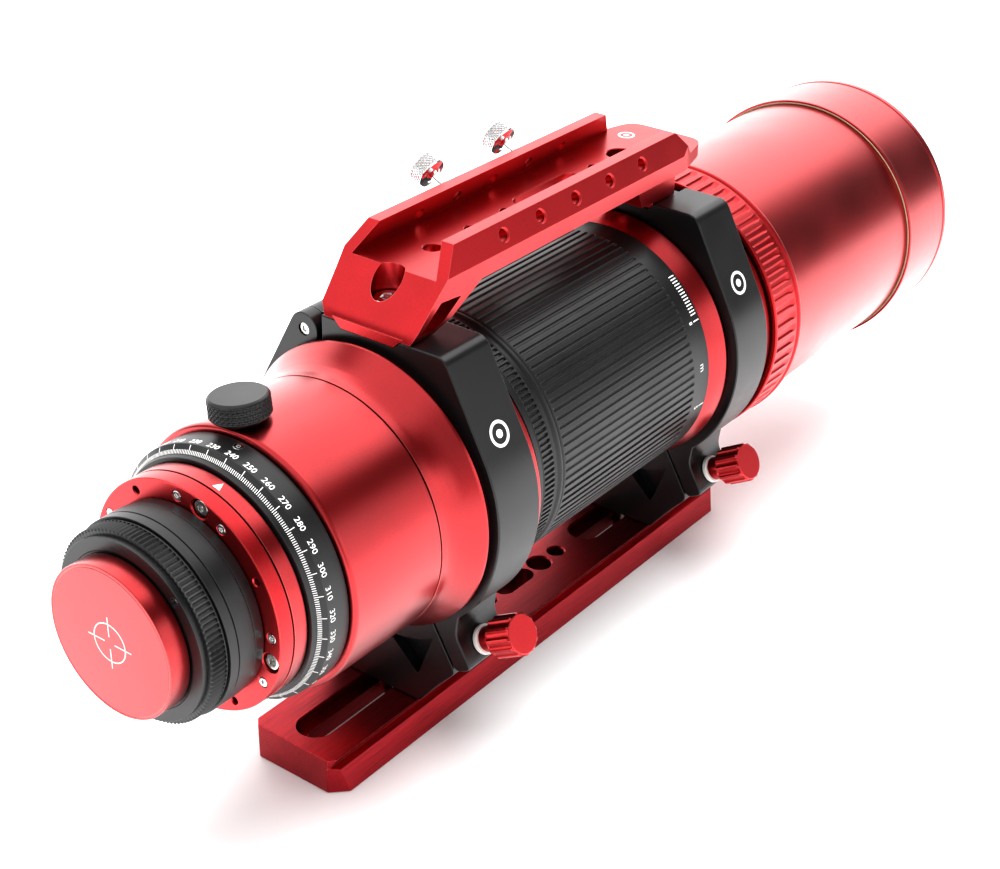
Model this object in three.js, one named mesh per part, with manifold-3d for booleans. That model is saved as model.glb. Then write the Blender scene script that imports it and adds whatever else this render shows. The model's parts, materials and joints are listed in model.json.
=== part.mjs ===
// A 90 mm class refracting telescope in clamshell tube rings, on a dovetail plate, with a saddle bar on top.
// Millimetres, +Z up, +Y towards the sky, +X to the right for someone standing behind the telescope.
// The origin is on the plate's bottom face and centre line, midway between its rear slot and first hole.
//
// Everything above the plate is built in the tube's own frame: Y runs along the optical axis, where z = 0.
// Places along the tube are given as the distance ahead of the rear cap's face, turned into y by at().

import * as THREE from 'three';
import { mergeVertices } from 'three/addons/utils/BufferGeometryUtils.js';
import Module from 'manifold-3d';

const wasm = await Module();
wasm.setup();

// ---- Driving dimensions ----

const AXIS_HEIGHT = 98.5;          // optical axis above the plate's bottom face
const REAR_FACE = -167.1;          // y of the rear cap's face
const GAP = 0.3;                   // clearance left between neighbouring pieces
const OVERRUN = 1;                 // how far a cutting tool runs past the face that it opens
const FAR = 200;                   // outside every piece, for tools that cut right through

const PLATE_SPAN = [73.7, 321.7];
const PLATE_HEIGHT = 14.3;
const PLATE_HALF_WIDTH = 22;       // 44 mm wide at the bottom
const PLATE_CORNER_CUT = 5.8;

const REAR_RING = 130.7;           // middle of each tube ring, ahead of the rear face
const FRONT_RING = 280.7;
const RING_WIDTH = 22.4;
const RING_RADIUS = 55.5;
const RING_BORE = 50.8;
const RING_TOP_FLAT = 57.9;        // the flat that the saddle bar stands on, above the axis
const KEY_DEPTH = 2.6;              // of the groove across the flat that the saddle bar's keys drop into
const KEY_HALF_WIDTH = 11.5;       // of a key's bottom face, with sides that open at 45 degrees
const RING_FLANK_ANGLE = 27.3;     // degrees above level where the straight flank leaves the round
const HINGE_DISTANCE = 57.6;       // hinge pin to optical axis
const HINGE_RADIUS = 6.2;
const HINGE_TONGUE = 11.2;
const PIN_RADIUS = 2.3;
const CLAMP_ANGLE = -60.3;         // direction of the parting plane, opposite the hinge
const STUD_DISTANCE = 67.2;
const STUD_RADIUS = 2.5;
const EAR_THICKNESS = 8;
const FOOT_HALF_WIDTH = 20;

const TUBE_RADIUS = 47.2;
const SEAT_RADIUS = 50.4;          // where the rings grip
const BARREL_RADIUS = 45.6;        // under the focus ring
const BARREL_BORE = 42.6;
const FOCUS_RADIUS = 49.6;
const FOCUS_TRAVEL = 7.5;
const FOCUS_TURN = 108;            // degrees of focus ring turn for the whole travel
const PIN_STATION = 202;           // cam pins with the focuser at its rear limit
const CAM_PIN_RADIUS = 2.5;
const CAM_PIN_ANGLES = [90, 210, 330];

const DEW_RADIUS = 53.8;
const CAP_RADIUS = 55.7;
const OVERALL_LENGTH = 448.7;

const TILT_CIRCLE = 36.7;          // radius of the circle that the tilt screws stand on
const TILT_GROUPS = [75, 165, 255, 345];
const TILT_SPREAD = 15;            // push screws stand this many degrees either side of a pull screw

const SADDLE_FLOOR = 76.1;
const SADDLE_UNDERSIDE = 71;
const SADDLE_TOP = 86;
const RAIL_TOP_OUTER = 18.3;
const RAIL_TOP_INNER = 13.3;
const RAIL_WIDEST = [22.4, 77.4];
const CHANNEL_HALF_WIDTH = 18.2;
const RAIL_HOLES = [166.9, 187.7, 208.5, 229.3, 250.1];
const SCREW_SEAT = 62.4;           // floor of the pockets that hold the saddle screws

const M6_RADIUS = 3;               // screws that hold the rings, and their holes
const M6_HOLE_RADIUS = 3.3;
const M6_HEAD_RADIUS = 5;
const M3_RADIUS = 1.5;             // tilt screws, all on one circle, and the scale ring's set screw
const M3_HEAD_RADIUS = 2.75;
const GRUB_RADIUS = 1.45;

const ROUND = 32;                  // facets round the tube's turned pieces
const LENS_ROUND = 24;             // round the lenses
const SMALL_ROUND = 12;            // round screws, pins and small holes
const GRUB_ROUND = 8;              // and round grub screws
const MERGE_DISTANCE = 1e-4;       // vertices closer than this are one vertex

const at = (distance) => REAR_FACE + distance;

// ---- Materials ----

const finish = (color, roughness, metalness) =>
  new THREE.MeshStandardMaterial({ color, roughness, metalness });
const redAnodised = finish(0xc4121c, 0.36, 0.85);
const brushedRed = finish(0x7d1a20, 0.42, 0.85);
const blackAnodised = finish(0x26262a, 0.45, 0.7);
const steel = finish(0xc9c9c6, 0.25, 1);
const nylon = finish(0xe6e4dd, 0.55, 0);
const felt = finish(0xd8c8a0, 0.95, 0);
const glass = finish(0x8fa8b4, 0.05, 0);

// ---- Solids ----

// A three.js geometry as a solid, with shared vertices merged and empty triangles dropped.
function solid(geometry) {
  const bare = geometry.clone();
  bare.deleteAttribute('normal');
  bare.deleteAttribute('uv');
  const merged = mergeVertices(bare, MERGE_DISTANCE);
  const index = merged.index.array;
  const triangles = [];
  for (let i = 0; i < index.length; i += 3) {
    const [a, b, c] = [index[i], index[i + 1], index[i + 2]];
    if (a !== b && b !== c && c !== a) triangles.push(a, b, c);
  }
  return new wasm.Manifold(new wasm.Mesh({
    numProp: 3,
    vertProperties: new Float32Array(merged.attributes.position.array),
    triVerts: new Uint32Array(triangles),
  }));
}

function geometryOf(body) {
  const mesh = body.getMesh();
  const geometry = new THREE.BufferGeometry();
  geometry.setAttribute('position', new THREE.BufferAttribute(mesh.vertProperties, 3));
  geometry.setIndex(new THREE.BufferAttribute(mesh.triVerts, 1));
  return geometry;
}

const joined = (first, ...rest) => rest.reduce((sum, next) => sum.add(next), first);
const cutBy = (body, ...tools) => tools.reduce((left, tool) => left.subtract(tool), body);

// Turns a profile of [radius, distance ahead of the rear face] points about the optical axis.
function turned(profile, segments = ROUND) {
  const points = profile.map(([radius, distance]) => new THREE.Vector2(radius, at(distance)));
  if (profile[0][0] > 0) points.push(points[0].clone());
  return solid(new THREE.LatheGeometry(points, segments));
}

// Turns a profile of [radius, height] points about a line that starts at a point and runs in a direction.
function turnedAlong(profile, origin, direction, segments = 16) {
  const points = profile.map(([radius, height]) => new THREE.Vector2(radius, height));
  if (profile[0][0] > 0) points.push(points[0].clone());
  const geometry = new THREE.LatheGeometry(points, segments);
  const latheAxis = new THREE.Vector3(0, 1, 0);
  const turn = new THREE.Quaternion().setFromUnitVectors(latheAxis, direction.clone().normalize());
  geometry.applyQuaternion(turn);
  geometry.translate(origin.x, origin.y, origin.z);
  return solid(geometry);
}

const rod = (radius, from, to, origin, direction, segments = SMALL_ROUND) =>
  turnedAlong([[0, from], [radius, from], [radius, to], [0, to]], origin, direction, segments);

const ALONG_TUBE = new THREE.Vector3(0, 1, 0);
const UP = new THREE.Vector3(0, 0, 1);

// A unit vector across the tube, at an angle in degrees from +X towards +Z.
function across(degrees) {
  const angle = THREE.MathUtils.degToRad(degrees);
  return new THREE.Vector3(Math.cos(angle), 0, Math.sin(angle));
}

const outline = (points) => new THREE.Shape(points.map(([a, b]) => new THREE.Vector2(a, b)));

// The right half of an outline, bottom to top, followed by its mirror image.
const mirrored = (right) => [...right, ...right.map(([a, b]) => [-a, b]).reverse()];

// Extrudes an outline of [x, z] points along Y, from one y to another.
function slab(shape, fromY, toY, curveSegments = 24) {
  const depth = toY - fromY;
  const geometry = new THREE.ExtrudeGeometry(shape, { depth, bevelEnabled: false, curveSegments });
  geometry.rotateX(Math.PI / 2);
  geometry.translate(0, toY, 0);
  return solid(geometry);
}

// Extrudes an outline of [y, z] points along X, from one x to another.
function sideSlab(shape, fromX, toX) {
  const geometry = new THREE.ExtrudeGeometry(shape, { depth: toX - fromX, bevelEnabled: false });
  const basis = new THREE.Matrix4().makeBasis(ALONG_TUBE, UP, new THREE.Vector3(1, 0, 0));
  geometry.applyMatrix4(basis);
  geometry.translate(fromX, 0, 0);
  return solid(geometry);
}

function block(x, y, z) {
  const geometry = new THREE.BoxGeometry(x[1] - x[0], y[1] - y[0], z[1] - z[0]);
  geometry.translate((x[0] + x[1]) / 2, (y[0] + y[1]) / 2, (z[0] + z[1]) / 2);
  return solid(geometry);
}

// An upright slot with round ends, lying along Y on the centre line.
function slot(radius, fromY, toY, bottom, top) {
  const shape = new THREE.Shape();
  shape.absarc(0, -toY + radius, radius, Math.PI, 2 * Math.PI);
  shape.absarc(0, -fromY - radius, radius, 0, Math.PI);
  const depth = top - bottom;
  const geometry = new THREE.ExtrudeGeometry(shape, { depth, bevelEnabled: false, curveSegments: 6 });
  geometry.scale(1, -1, 1);
  geometry.translate(0, 0, bottom);
  return solid(flipped(geometry));
}

// Reverses the winding of a geometry without an index, after it has been mirrored.
function flipped(geometry) {
  const position = geometry.attributes.position;
  for (let i = 0; i < position.count; i += 3) {
    const a = new THREE.Vector3().fromBufferAttribute(position, i);
    const b = new THREE.Vector3().fromBufferAttribute(position, i + 1);
    position.setXYZ(i, b.x, b.y, b.z);
    position.setXYZ(i + 1, a.x, a.y, a.z);
  }
  return geometry;
}

const model = new THREE.Group();
const tube = new THREE.Group();
tube.position.z = AXIS_HEIGHT;
model.add(tube);

function place(name, body, material, parent = tube) {
  const mesh = new THREE.Mesh(geometryOf(body), material);
  mesh.name = name;
  parent.add(mesh);
}

// ---- Dovetail plate and the screws that hold the rings on it ----

const SLOT_TOP_RADIUS = 7;
const SLOT_THROUGH_RADIUS = 3.4;
const SLOT_BOTTOM_RADIUS = 5.8;
const SLOT_STEP = 5;               // depth of the wide parts of the slots, from above and from below
const REAR_SLOT = [79.4, 151.4];
const FRONT_SLOT = [244, 316];
const MIDDLE_SLOT = [191.5, 212.5];
const MIDDLE_SLOT_RADIUS = 4.5;
const PLATE_HOLES = [[186, 3.2], [219.1, 4.9], [230.4, 3.4]];    // each at a distance, with its radius

function platePlan() {
  const [rear, front] = PLATE_SPAN.map(at);
  const cut = PLATE_CORNER_CUT;
  const wide = PLATE_HALF_WIDTH;
  return outline([
    [-wide + cut, rear], [wide - cut, rear], [wide, rear + cut], [wide, front - cut],
    [wide - cut, front], [-wide + cut, front], [-wide, front - cut], [-wide, rear + cut],
  ]);
}

function steppedSlot([from, to]) {
  const [rear, front] = [at(from), at(to)];
  const inset = SLOT_TOP_RADIUS - SLOT_THROUGH_RADIUS;
  const lower = SLOT_TOP_RADIUS - SLOT_BOTTOM_RADIUS;
  return joined(
    slot(SLOT_TOP_RADIUS, rear, front, PLATE_HEIGHT - SLOT_STEP, PLATE_HEIGHT + OVERRUN),
    slot(SLOT_THROUGH_RADIUS, rear + inset, front - inset, -OVERRUN, PLATE_HEIGHT + OVERRUN),
    slot(SLOT_BOTTOM_RADIUS, rear + lower, front - lower, -OVERRUN, SLOT_STEP),
  );
}

function dovetailPlate() {
  const right = [[PLATE_HALF_WIDTH, 0], [19.5, 9.9], [16.8, 10.7], [19.1, PLATE_HEIGHT]];
  const bar = slab(outline(mirrored(right)), ...PLATE_SPAN.map(at));
  const plan = solid(new THREE.ExtrudeGeometry(platePlan(), { depth: PLATE_HEIGHT, bevelEnabled: false }));
  const holes = PLATE_HOLES.map(([distance, radius]) =>
    rod(radius, -OVERRUN, PLATE_HEIGHT + OVERRUN, new THREE.Vector3(0, at(distance), 0), UP));
  return cutBy(bar.intersect(plan), steppedSlot(REAR_SLOT), steppedSlot(FRONT_SLOT), ...holes,
    slot(MIDDLE_SLOT_RADIUS, ...MIDDLE_SLOT.map(at), -OVERRUN, PLATE_HEIGHT + OVERRUN));
}

place('dovetail_plate', dovetailPlate(), brushedRed, model);

const SOCKET_WIDTH = 0.52;         // of the head's radius
const SOCKET_FLOOR = 0.45;         // of the head's height

// A socket cap screw: the head from 0 upwards, the thread below it, and the hexagon socket sunk in the head.
function capScrew(radius, length, headRadius, headHeight, origin, direction) {
  const body = turnedAlong([
    [0, -length], [radius, -length], [radius, 0], [headRadius, 0], [headRadius, headHeight], [0, headHeight],
  ], origin, direction, SMALL_ROUND);
  const [width, floor] = [headRadius * SOCKET_WIDTH, headHeight * SOCKET_FLOOR];
  return cutBy(body, rod(width, floor, headHeight + OVERRUN, origin, direction, 6));
}

for (const [name, distance] of [['rear_plate_screw', REAR_RING], ['front_plate_screw', FRONT_RING]]) {
  const seat = new THREE.Vector3(0, at(distance), SLOT_STEP - GAP);
  place(name, capScrew(M6_RADIUS, 18, M6_HEAD_RADIUS, 4, seat, UP.clone().negate()), steel, model);
}

// ---- Tube rings ----

const partingLine = across(CLAMP_ANGLE);            // from the axis towards the clamp
const clampAxis = across(CLAMP_ANGLE + 90);         // from the base's ear out through the knob
const hinge = partingLine.clone().multiplyScalar(-HINGE_DISTANCE);
const TOP_END = -20.4;                              // x of the end of the ring top beside the hinge
const FOOT_BOTTOM = PLATE_HEIGHT + GAP - AXIS_HEIGHT;
const FOOT_HOLE_DEPTH = 12;
const POCKET_DEPTH = 5;                             // of the triangular pockets in each face of the foot
const DISC_STEPS = 8;                               // facets round half of a hinge lobe

// A point in the ring's plane, from its distance along the parting line and its distance towards the knob.
function ringPoint(along, towards) {
  const point = partingLine.clone().multiplyScalar(along).addScaledVector(clampAxis, towards);
  return [point.x, point.z];
}

function disc(radius, [x, z], curveSegments) {
  const shape = new THREE.Shape().absarc(x, z, radius, 0, 2 * Math.PI);
  return (fromY, toY) => slab(shape, fromY, toY, curveSegments);
}

// Everything on one side of the parting plane, as a big block turned to match.
function halfSpace(side, fromY, toY) {
  const near = side * GAP;
  const far = side * FAR;
  const corners = [[-FAR, near], [FAR, near], [FAR, far], [-FAR, far]].map(([a, b]) => ringPoint(a, b));
  return slab(outline(side > 0 ? corners : corners.reverse()), fromY, toY);
}

function flankPoint(side) {
  const point = across(RING_FLANK_ANGLE).multiplyScalar(RING_RADIUS);
  return [side * point.x, point.z];
}

// The x where the straight flank would meet the level top.
function shoulderX() {
  const normal = across(RING_FLANK_ANGLE);
  return (RING_RADIUS - normal.z * RING_TOP_FLAT) / normal.x;
}

// The groove across the ring's top, or with less room beside it the key that drops into it.
function keyOutline(room, bottom, top) {
  const half = KEY_HALF_WIDTH + room;
  return outline(mirrored([[half, bottom], [half + top - bottom, top]]));
}

function ringTop(distance) {
  const [rear, front] = [at(distance) - RING_WIDTH / 2, at(distance) + RING_WIDTH / 2];
  const shoulder = shoulderX();
  const cap = outline([
    [0, 0], flankPoint(1), [shoulder + 1.3, RING_TOP_FLAT - 2.6], [shoulder + 0.6, RING_TOP_FLAT - 1],
    [shoulder - 1.2, RING_TOP_FLAT], [-40, RING_TOP_FLAT], [-40, 20],
  ]);
  const ear = outline([
    ringPoint(45, GAP), ringPoint(71.5, GAP), ringPoint(74, 2.5), ringPoint(74, EAR_THICKNESS - 1.5),
    ringPoint(72.5, EAR_THICKNESS), ringPoint(60, EAR_THICKNESS), ringPoint(50, 16),
  ]);
  const arc = joined(disc(RING_RADIUS, [0, 0], ROUND / 2)(rear, front), slab(cap, rear, front))
    .intersect(halfSpace(1, rear - OVERRUN, front + OVERRUN))
    .subtract(block([-FAR, TOP_END], [rear - OVERRUN, front + OVERRUN], [-FAR, FAR]));
  const [tongueRear, tongueFront] = [at(distance) - HINGE_TONGUE / 2, at(distance) + HINGE_TONGUE / 2];
  const neck = outline([
    [hinge.x, hinge.z], [-25.5, 44.9], [TOP_END + 0.1, 47], [TOP_END + 0.1, 56.8],
    [hinge.x, hinge.z + HINGE_RADIUS],
  ]);
  const tongue = joined(disc(HINGE_RADIUS, [hinge.x, hinge.z], DISC_STEPS)(tongueRear, tongueFront),
    slab(neck, tongueRear, tongueFront));
  const ring = joined(arc, slab(ear, rear, front), tongue);
  const groove = keyOutline(0.2, RING_TOP_FLAT - KEY_DEPTH, RING_TOP_FLAT + OVERRUN);
  const middle = new THREE.Vector3(0, at(distance), 0);
  const stud = middle.clone().addScaledVector(partingLine, STUD_DISTANCE);
  return cutBy(ring,
    disc(RING_BORE, [0, 0], ROUND / 2)(rear - OVERRUN, front + OVERRUN),
    rod(PIN_RADIUS + GAP, -RING_WIDTH, RING_WIDTH, middle.clone().add(hinge), ALONG_TUBE),
    rod(STUD_RADIUS + 0.4, -5, 20, stud, clampAxis),
    slab(groove, rear - OVERRUN, front + OVERRUN),
    rod(M6_HOLE_RADIUS, RING_BORE + 1.4, RING_TOP_FLAT + OVERRUN, middle, UP));
}

// Two triangular pockets lighten each face of the foot, with their tops following the bore.
function footPockets(distance) {
  const pocket = (side) => {
    const points = [[6.2, -59.6], [19.5, -72.3], [27, -53.4], [20.5, -56.6], [13.5, -58.8]];
    return side > 0 ? points : points.map(([x, z]) => [-x, z]).reverse();
  };
  const [rear, front] = [at(distance) - RING_WIDTH / 2, at(distance) + RING_WIDTH / 2];
  return [1, -1].flatMap((side) => [
    slab(outline(pocket(side)), rear - OVERRUN, rear + POCKET_DEPTH),
    slab(outline(pocket(side)), front - POCKET_DEPTH, front + OVERRUN),
  ]);
}

function ringBase(distance) {
  const [rear, front] = [at(distance) - RING_WIDTH / 2, at(distance) + RING_WIDTH / 2];
  const flankNormal = across(180 - RING_FLANK_ANGLE);
  const lobe = hinge.clone().addScaledVector(flankNormal, HINGE_RADIUS);
  const arm = outline([
    [lobe.x, lobe.z], flankPoint(-1), [-30, 20], [hinge.x + 4, hinge.z - 6], [hinge.x, hinge.z],
  ]);
  const foot = outline([
    [-FOOT_HALF_WIDTH, FOOT_BOTTOM], [FOOT_HALF_WIDTH, FOOT_BOTTOM], ringPoint(78, -12),
    ringPoint(74.6, -2.5), ringPoint(73, -GAP), ringPoint(40, -GAP), [-30, -10], [-44, -34],
  ]);
  const arc = disc(RING_RADIUS, [0, 0], ROUND / 2)(rear, front)
    .intersect(halfSpace(-1, rear - OVERRUN, front + OVERRUN));
  const lobes = disc(HINGE_RADIUS, [hinge.x, hinge.z], DISC_STEPS)(rear, front);
  const middle = new THREE.Vector3(0, at(distance), 0);
  const stud = middle.clone().addScaledVector(partingLine, STUD_DISTANCE);
  const fork = HINGE_TONGUE / 2 + GAP;
  return cutBy(joined(arc, slab(arm, rear, front), slab(foot, rear, front), lobes),
    disc(RING_BORE, [0, 0], ROUND / 2)(rear - OVERRUN, front + OVERRUN),
    disc(HINGE_RADIUS + 0.5, [hinge.x, hinge.z], DISC_STEPS)(at(distance) - fork, at(distance) + fork),
    rod(PIN_RADIUS + GAP, -RING_WIDTH, RING_WIDTH, middle.clone().add(hinge), ALONG_TUBE),
    rod(STUD_RADIUS + 0.8, -16, 5, stud, clampAxis),
    rod(M6_HOLE_RADIUS, FOOT_BOTTOM - OVERRUN, FOOT_BOTTOM + FOOT_HOLE_DEPTH, middle, UP),
    ...footPockets(distance));
}

// Each knob is turned about the clamp axis, and its stud stays in it. Heights are from the parting plane.
const WASHER_RADIUS = 5.5;
const WASHER_THICKNESS = 1.7;
const KNOB_NECK_RADIUS = 4.7;
const KNOB_RADIUS = 7.7;
const KNOB_END = 28;
const STUD_END = 24.3;
const STUD_START = -9;

function clampParts(end, distance) {
  const foot = new THREE.Vector3(0, at(distance), 0).addScaledVector(partingLine, STUD_DISTANCE);
  const [washerRear, washerFront] = [EAR_THICKNESS + GAP, EAR_THICKNESS + GAP + WASHER_THICKNESS];
  const knobRear = washerFront + GAP;
  const socketRadius = STUD_RADIUS + 0.2;
  place(`${end}_clamp_washer`, turnedAlong([
    [STUD_RADIUS + GAP, washerRear], [WASHER_RADIUS, washerRear],
    [WASHER_RADIUS, washerFront], [STUD_RADIUS + GAP, washerFront],
  ], foot, clampAxis), nylon);
  place(`${end}_clamp_knob`, turnedAlong([
    [0, STUD_END + GAP], [socketRadius, STUD_END + GAP], [socketRadius, knobRear],
    [KNOB_NECK_RADIUS, knobRear], [KNOB_NECK_RADIUS, 15.6], [KNOB_RADIUS, 16.4],
    [KNOB_RADIUS, KNOB_END], [0, KNOB_END],
  ], foot, clampAxis), redAnodised);
  place(`${end}_clamp_stud`, rod(STUD_RADIUS, STUD_START, STUD_END, foot, clampAxis, 16), steel);
}

for (const [end, distance] of [['rear', REAR_RING], ['front', FRONT_RING]]) {
  place(`${end}_ring_base`, ringBase(distance), blackAnodised);
  place(`${end}_ring_top`, ringTop(distance), blackAnodised);
  const pinAxis = new THREE.Vector3(0, at(distance), 0).add(hinge);
  const pinEnd = RING_WIDTH / 2 - 0.6;
  place(`${end}_hinge_pin`, rod(PIN_RADIUS, -pinEnd, pinEnd, pinAxis, ALONG_TUBE), steel);
  clampParts(end, distance);
}

// ---- Saddle bar on top of the rings ----

const SADDLE_BOTTOM = RING_TOP_FLAT + GAP;
const RAIL_FACE = [(RAIL_WIDEST[0] + RAIL_TOP_OUTER) / 2, (RAIL_WIDEST[1] + SADDLE_TOP) / 2];
const REAR_LEG = [119.3, 131.5];
const FRONT_LEG = [263, 285];
const FRONT_KEY = [270, 285];       // the part of the front leg that stands in its ring's groove
const FRONT_COUNTERBORE = 266.3;
const FRONT_COUNTERBORE_SEAT = 66;
const FLOOR_HOLES = [175, 195.2, 248.9];
const LEG_HALF_WIDTH = 13;
const SADDLE_END = 298;
const RAIL_HOLE_RADIUS = 2.3;
const REAR_THUMBSCREW = RAIL_HOLES[1];
const FRONT_THUMBSCREW = RAIL_HOLES[3];
const THUMBSCREW_NECK = 2;
const THUMBSCREW_TIP = -4;                           // just short of the channel, from the rail's face
const THUMBSCREW_HEAD = [6, 7.8, 14.4];              // radius, underside and top, from the rail's face

// The outward normal of a rail's sloping outer face, on the right (1) or the left (-1).
function railNormal(side) {
  const run = RAIL_WIDEST[0] - RAIL_TOP_OUTER;
  const rise = SADDLE_TOP - RAIL_WIDEST[1];
  return new THREE.Vector3(side * rise, 0, run).normalize();
}

const railPoint = (side, distance) => new THREE.Vector3(side * RAIL_FACE[0], at(distance), RAIL_FACE[1]);

function saddleOutside() {
  const right = [
    [18.6, SADDLE_BOTTOM], [20.8, 62.5], [21.6, SADDLE_UNDERSIDE], RAIL_WIDEST, [RAIL_TOP_OUTER, SADDLE_TOP],
  ];
  const bar = slab(outline(mirrored(right)), at(0), at(SADDLE_END + OVERRUN));
  const side = outline([
    [REAR_LEG[0], SADDLE_BOTTOM], [REAR_LEG[1], SADDLE_BOTTOM], [153.5, SADDLE_UNDERSIDE],
    [FRONT_LEG[0] - 5.7, SADDLE_UNDERSIDE], [FRONT_LEG[0], SADDLE_BOTTOM],
    [FRONT_LEG[1], SADDLE_BOTTOM], [FRONT_LEG[1], SADDLE_UNDERSIDE],
    [SADDLE_END, SADDLE_UNDERSIDE], [SADDLE_END, SADDLE_FLOOR], [283.6, SADDLE_FLOOR], [275, SADDLE_TOP],
    [142.5, SADDLE_TOP], [120.9, 62.5],
  ].map(([distance, z]) => [at(distance), z]));
  return bar.intersect(sideSlab(side, -FAR, FAR));
}

// Seen from above: the sides taper in ahead of the front ring's middle, to an end with rounded corners.
function saddlePlan() {
  const end = at(SADDLE_END);
  const [wide, corner, bulge, tip] = [30, 17.5, 16.1, 9];
  const [taper, cornerLength] = [49.6, 5];
  const shape = new THREE.Shape();
  shape.moveTo(-wide, at(0));
  shape.lineTo(wide, at(0));
  shape.lineTo(wide, end - taper);
  shape.lineTo(corner, end - cornerLength);
  shape.quadraticCurveTo(bulge, end, tip, end);
  shape.lineTo(-tip, end);
  shape.quadraticCurveTo(-bulge, end, -corner, end - cornerLength);
  shape.lineTo(-wide, end - taper);
  const geometry = new THREE.ExtrudeGeometry(shape, { depth: FAR, bevelEnabled: false, curveSegments: 6 });
  return solid(geometry);
}

function saddleBar() {
  const above = SADDLE_TOP + OVERRUN;
  const channel = outline(mirrored([
    [CHANNEL_HALF_WIDTH, SADDLE_FLOOR], [RAIL_TOP_INNER, SADDLE_TOP], [RAIL_TOP_INNER, above],
  ]));
  const windowCorners = [[121.6, 60.5], [130.9, 60], [142.8, 68.7], [132.1, 69.8]];
  const window = outline(windowCorners.map(([distance, z]) => [at(distance), z]));
  const drilled = (side, distance) =>
    rod(RAIL_HOLE_RADIUS, -9, 5, railPoint(side, distance), railNormal(side), 10);
  const upright = (distance, radius, bottom = SADDLE_BOTTOM - KEY_DEPTH - OVERRUN) =>
    rod(radius, bottom, above, new THREE.Vector3(0, at(distance), 0), UP, 16);
  const besideLeg = [at(255), at(295)];
  const keys = [REAR_LEG, FRONT_KEY].map(([from, to]) =>
    slab(keyOutline(0, SADDLE_BOTTOM - KEY_DEPTH, SADDLE_BOTTOM + OVERRUN), at(from), at(to)));
  return cutBy(joined(saddleOutside().intersect(saddlePlan()), ...keys),
    slab(channel, at(0), at(SADDLE_END + OVERRUN)),
    sideSlab(window, 12.5, FAR), sideSlab(window, -FAR, -12.5),
    block([LEG_HALF_WIDTH, FAR], besideLeg, [0, SADDLE_UNDERSIDE]),
    block([-FAR, -LEG_HALF_WIDTH], besideLeg, [0, SADDLE_UNDERSIDE]),
    upright(REAR_RING, 5.8, SCREW_SEAT), upright(REAR_RING, M6_HOLE_RADIUS),
    upright(FRONT_COUNTERBORE, 5.6, FRONT_COUNTERBORE_SEAT), upright(FRONT_COUNTERBORE, 2.4),
    upright(153.9, 3.4), ...FLOOR_HOLES.map((distance) => upright(distance, 2.6)),
    slot(5, at(202), at(239.5), SADDLE_BOTTOM, above),
    ...RAIL_HOLES.flatMap((distance) => [drilled(1, distance), drilled(-1, distance)]));
}

place('saddle_bar', saddleBar(), redAnodised);

const saddleScrewSeat = new THREE.Vector3(0, at(REAR_RING), SCREW_SEAT + GAP);
place('rear_saddle_screw', capScrew(M6_RADIUS, 9.8, M6_HEAD_RADIUS, 3.8, saddleScrewSeat, UP), steel);

for (const [end, distance] of [['rear', REAR_THUMBSCREW], ['front', FRONT_THUMBSCREW]]) {
  const [head, underside, top] = THUMBSCREW_HEAD;
  place(`${end}_thumbscrew`, turnedAlong([
    [0, THUMBSCREW_TIP], [THUMBSCREW_NECK, THUMBSCREW_TIP], [THUMBSCREW_NECK, underside],
    [head, underside], [head, top], [0, top],
  ], railPoint(-1, distance), railNormal(-1)), steel);
}

// ---- Rear end: cap, adapter and tilt plate ----

place('rear_cap', turned([
  [0, 0], [26.3, 0], [26.3, 7.7], [22.9, 7.7], [22.9, 15], [21.4, 15], [21.4, 3], [0, 3],
]), redAnodised);

const adapterScrewSeat = across(42).multiplyScalar(28.9).setY(at(8));
place('adapter_knurled_ring', cutBy(turned([
  [23.2, 8.3], [26.9, 8.3], [26.9, 8], [31.2, 8], [31.2, 10], [33.3, 10.8], [33.3, 16.4],
  [27.8, 16.4], [27.8, 21.6], [23.2, 21.6],
]), rod(GRUB_RADIUS + GAP, -OVERRUN, 4.3, adapterScrewSeat, ALONG_TUBE, GRUB_ROUND)), blackAnodised);

place('adapter_grub_screw', rod(GRUB_RADIUS, 1.2, 4, adapterScrewSeat, ALONG_TUBE, GRUB_ROUND), steel);

place('camera_adapter', turned([
  [28.1, 16.7], [34.1, 16.7], [34.1, 27.2], [33.8, 27.2], [33.8, 31.1], [27.5, 31.1], [27.5, 36],
  [25, 36], [25, 22], [28.1, 22],
]), blackAnodised);

// The tilt plate: at each of four places a pull screw stands between two push screws.
const TILT_REAR = 31.4;
const TILT_FRONT = 37.1;
const PULL_SEAT = 34.6;
const PULL_LENGTH = 7.3;
const SPARE_HOLE_RADIUS = 1.3;
const tiltPoint = (degrees) => across(degrees).multiplyScalar(TILT_CIRCLE).setY(REAR_FACE);
const tiltRod = (radius, from, to, degrees, segments = GRUB_ROUND) =>
  rod(radius, from, to, tiltPoint(degrees), ALONG_TUBE, segments);
const pushAngles = TILT_GROUPS.flatMap((middle) => [middle - TILT_SPREAD, middle + TILT_SPREAD]);

place('tilt_plate', cutBy(turned([
  [27.8, TILT_REAR], [40.4, TILT_REAR], [40.4, TILT_FRONT], [27.8, TILT_FRONT],
]),
...TILT_GROUPS.map((degrees) => joined(
  tiltRod(M3_HEAD_RADIUS + 0.55, TILT_REAR - OVERRUN, PULL_SEAT, degrees, SMALL_ROUND),
  tiltRod(M3_RADIUS + 0.45, TILT_REAR, TILT_FRONT + OVERRUN, degrees))),
...pushAngles.map((degrees) =>
  tiltRod(GRUB_RADIUS + GAP, TILT_REAR - OVERRUN, TILT_FRONT + OVERRUN, degrees)),
...TILT_GROUPS.map((degrees) =>
  tiltRod(SPARE_HOLE_RADIUS, TILT_REAR - OVERRUN, TILT_FRONT - 1.5, degrees + 45, 6)),
), redAnodised);

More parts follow.
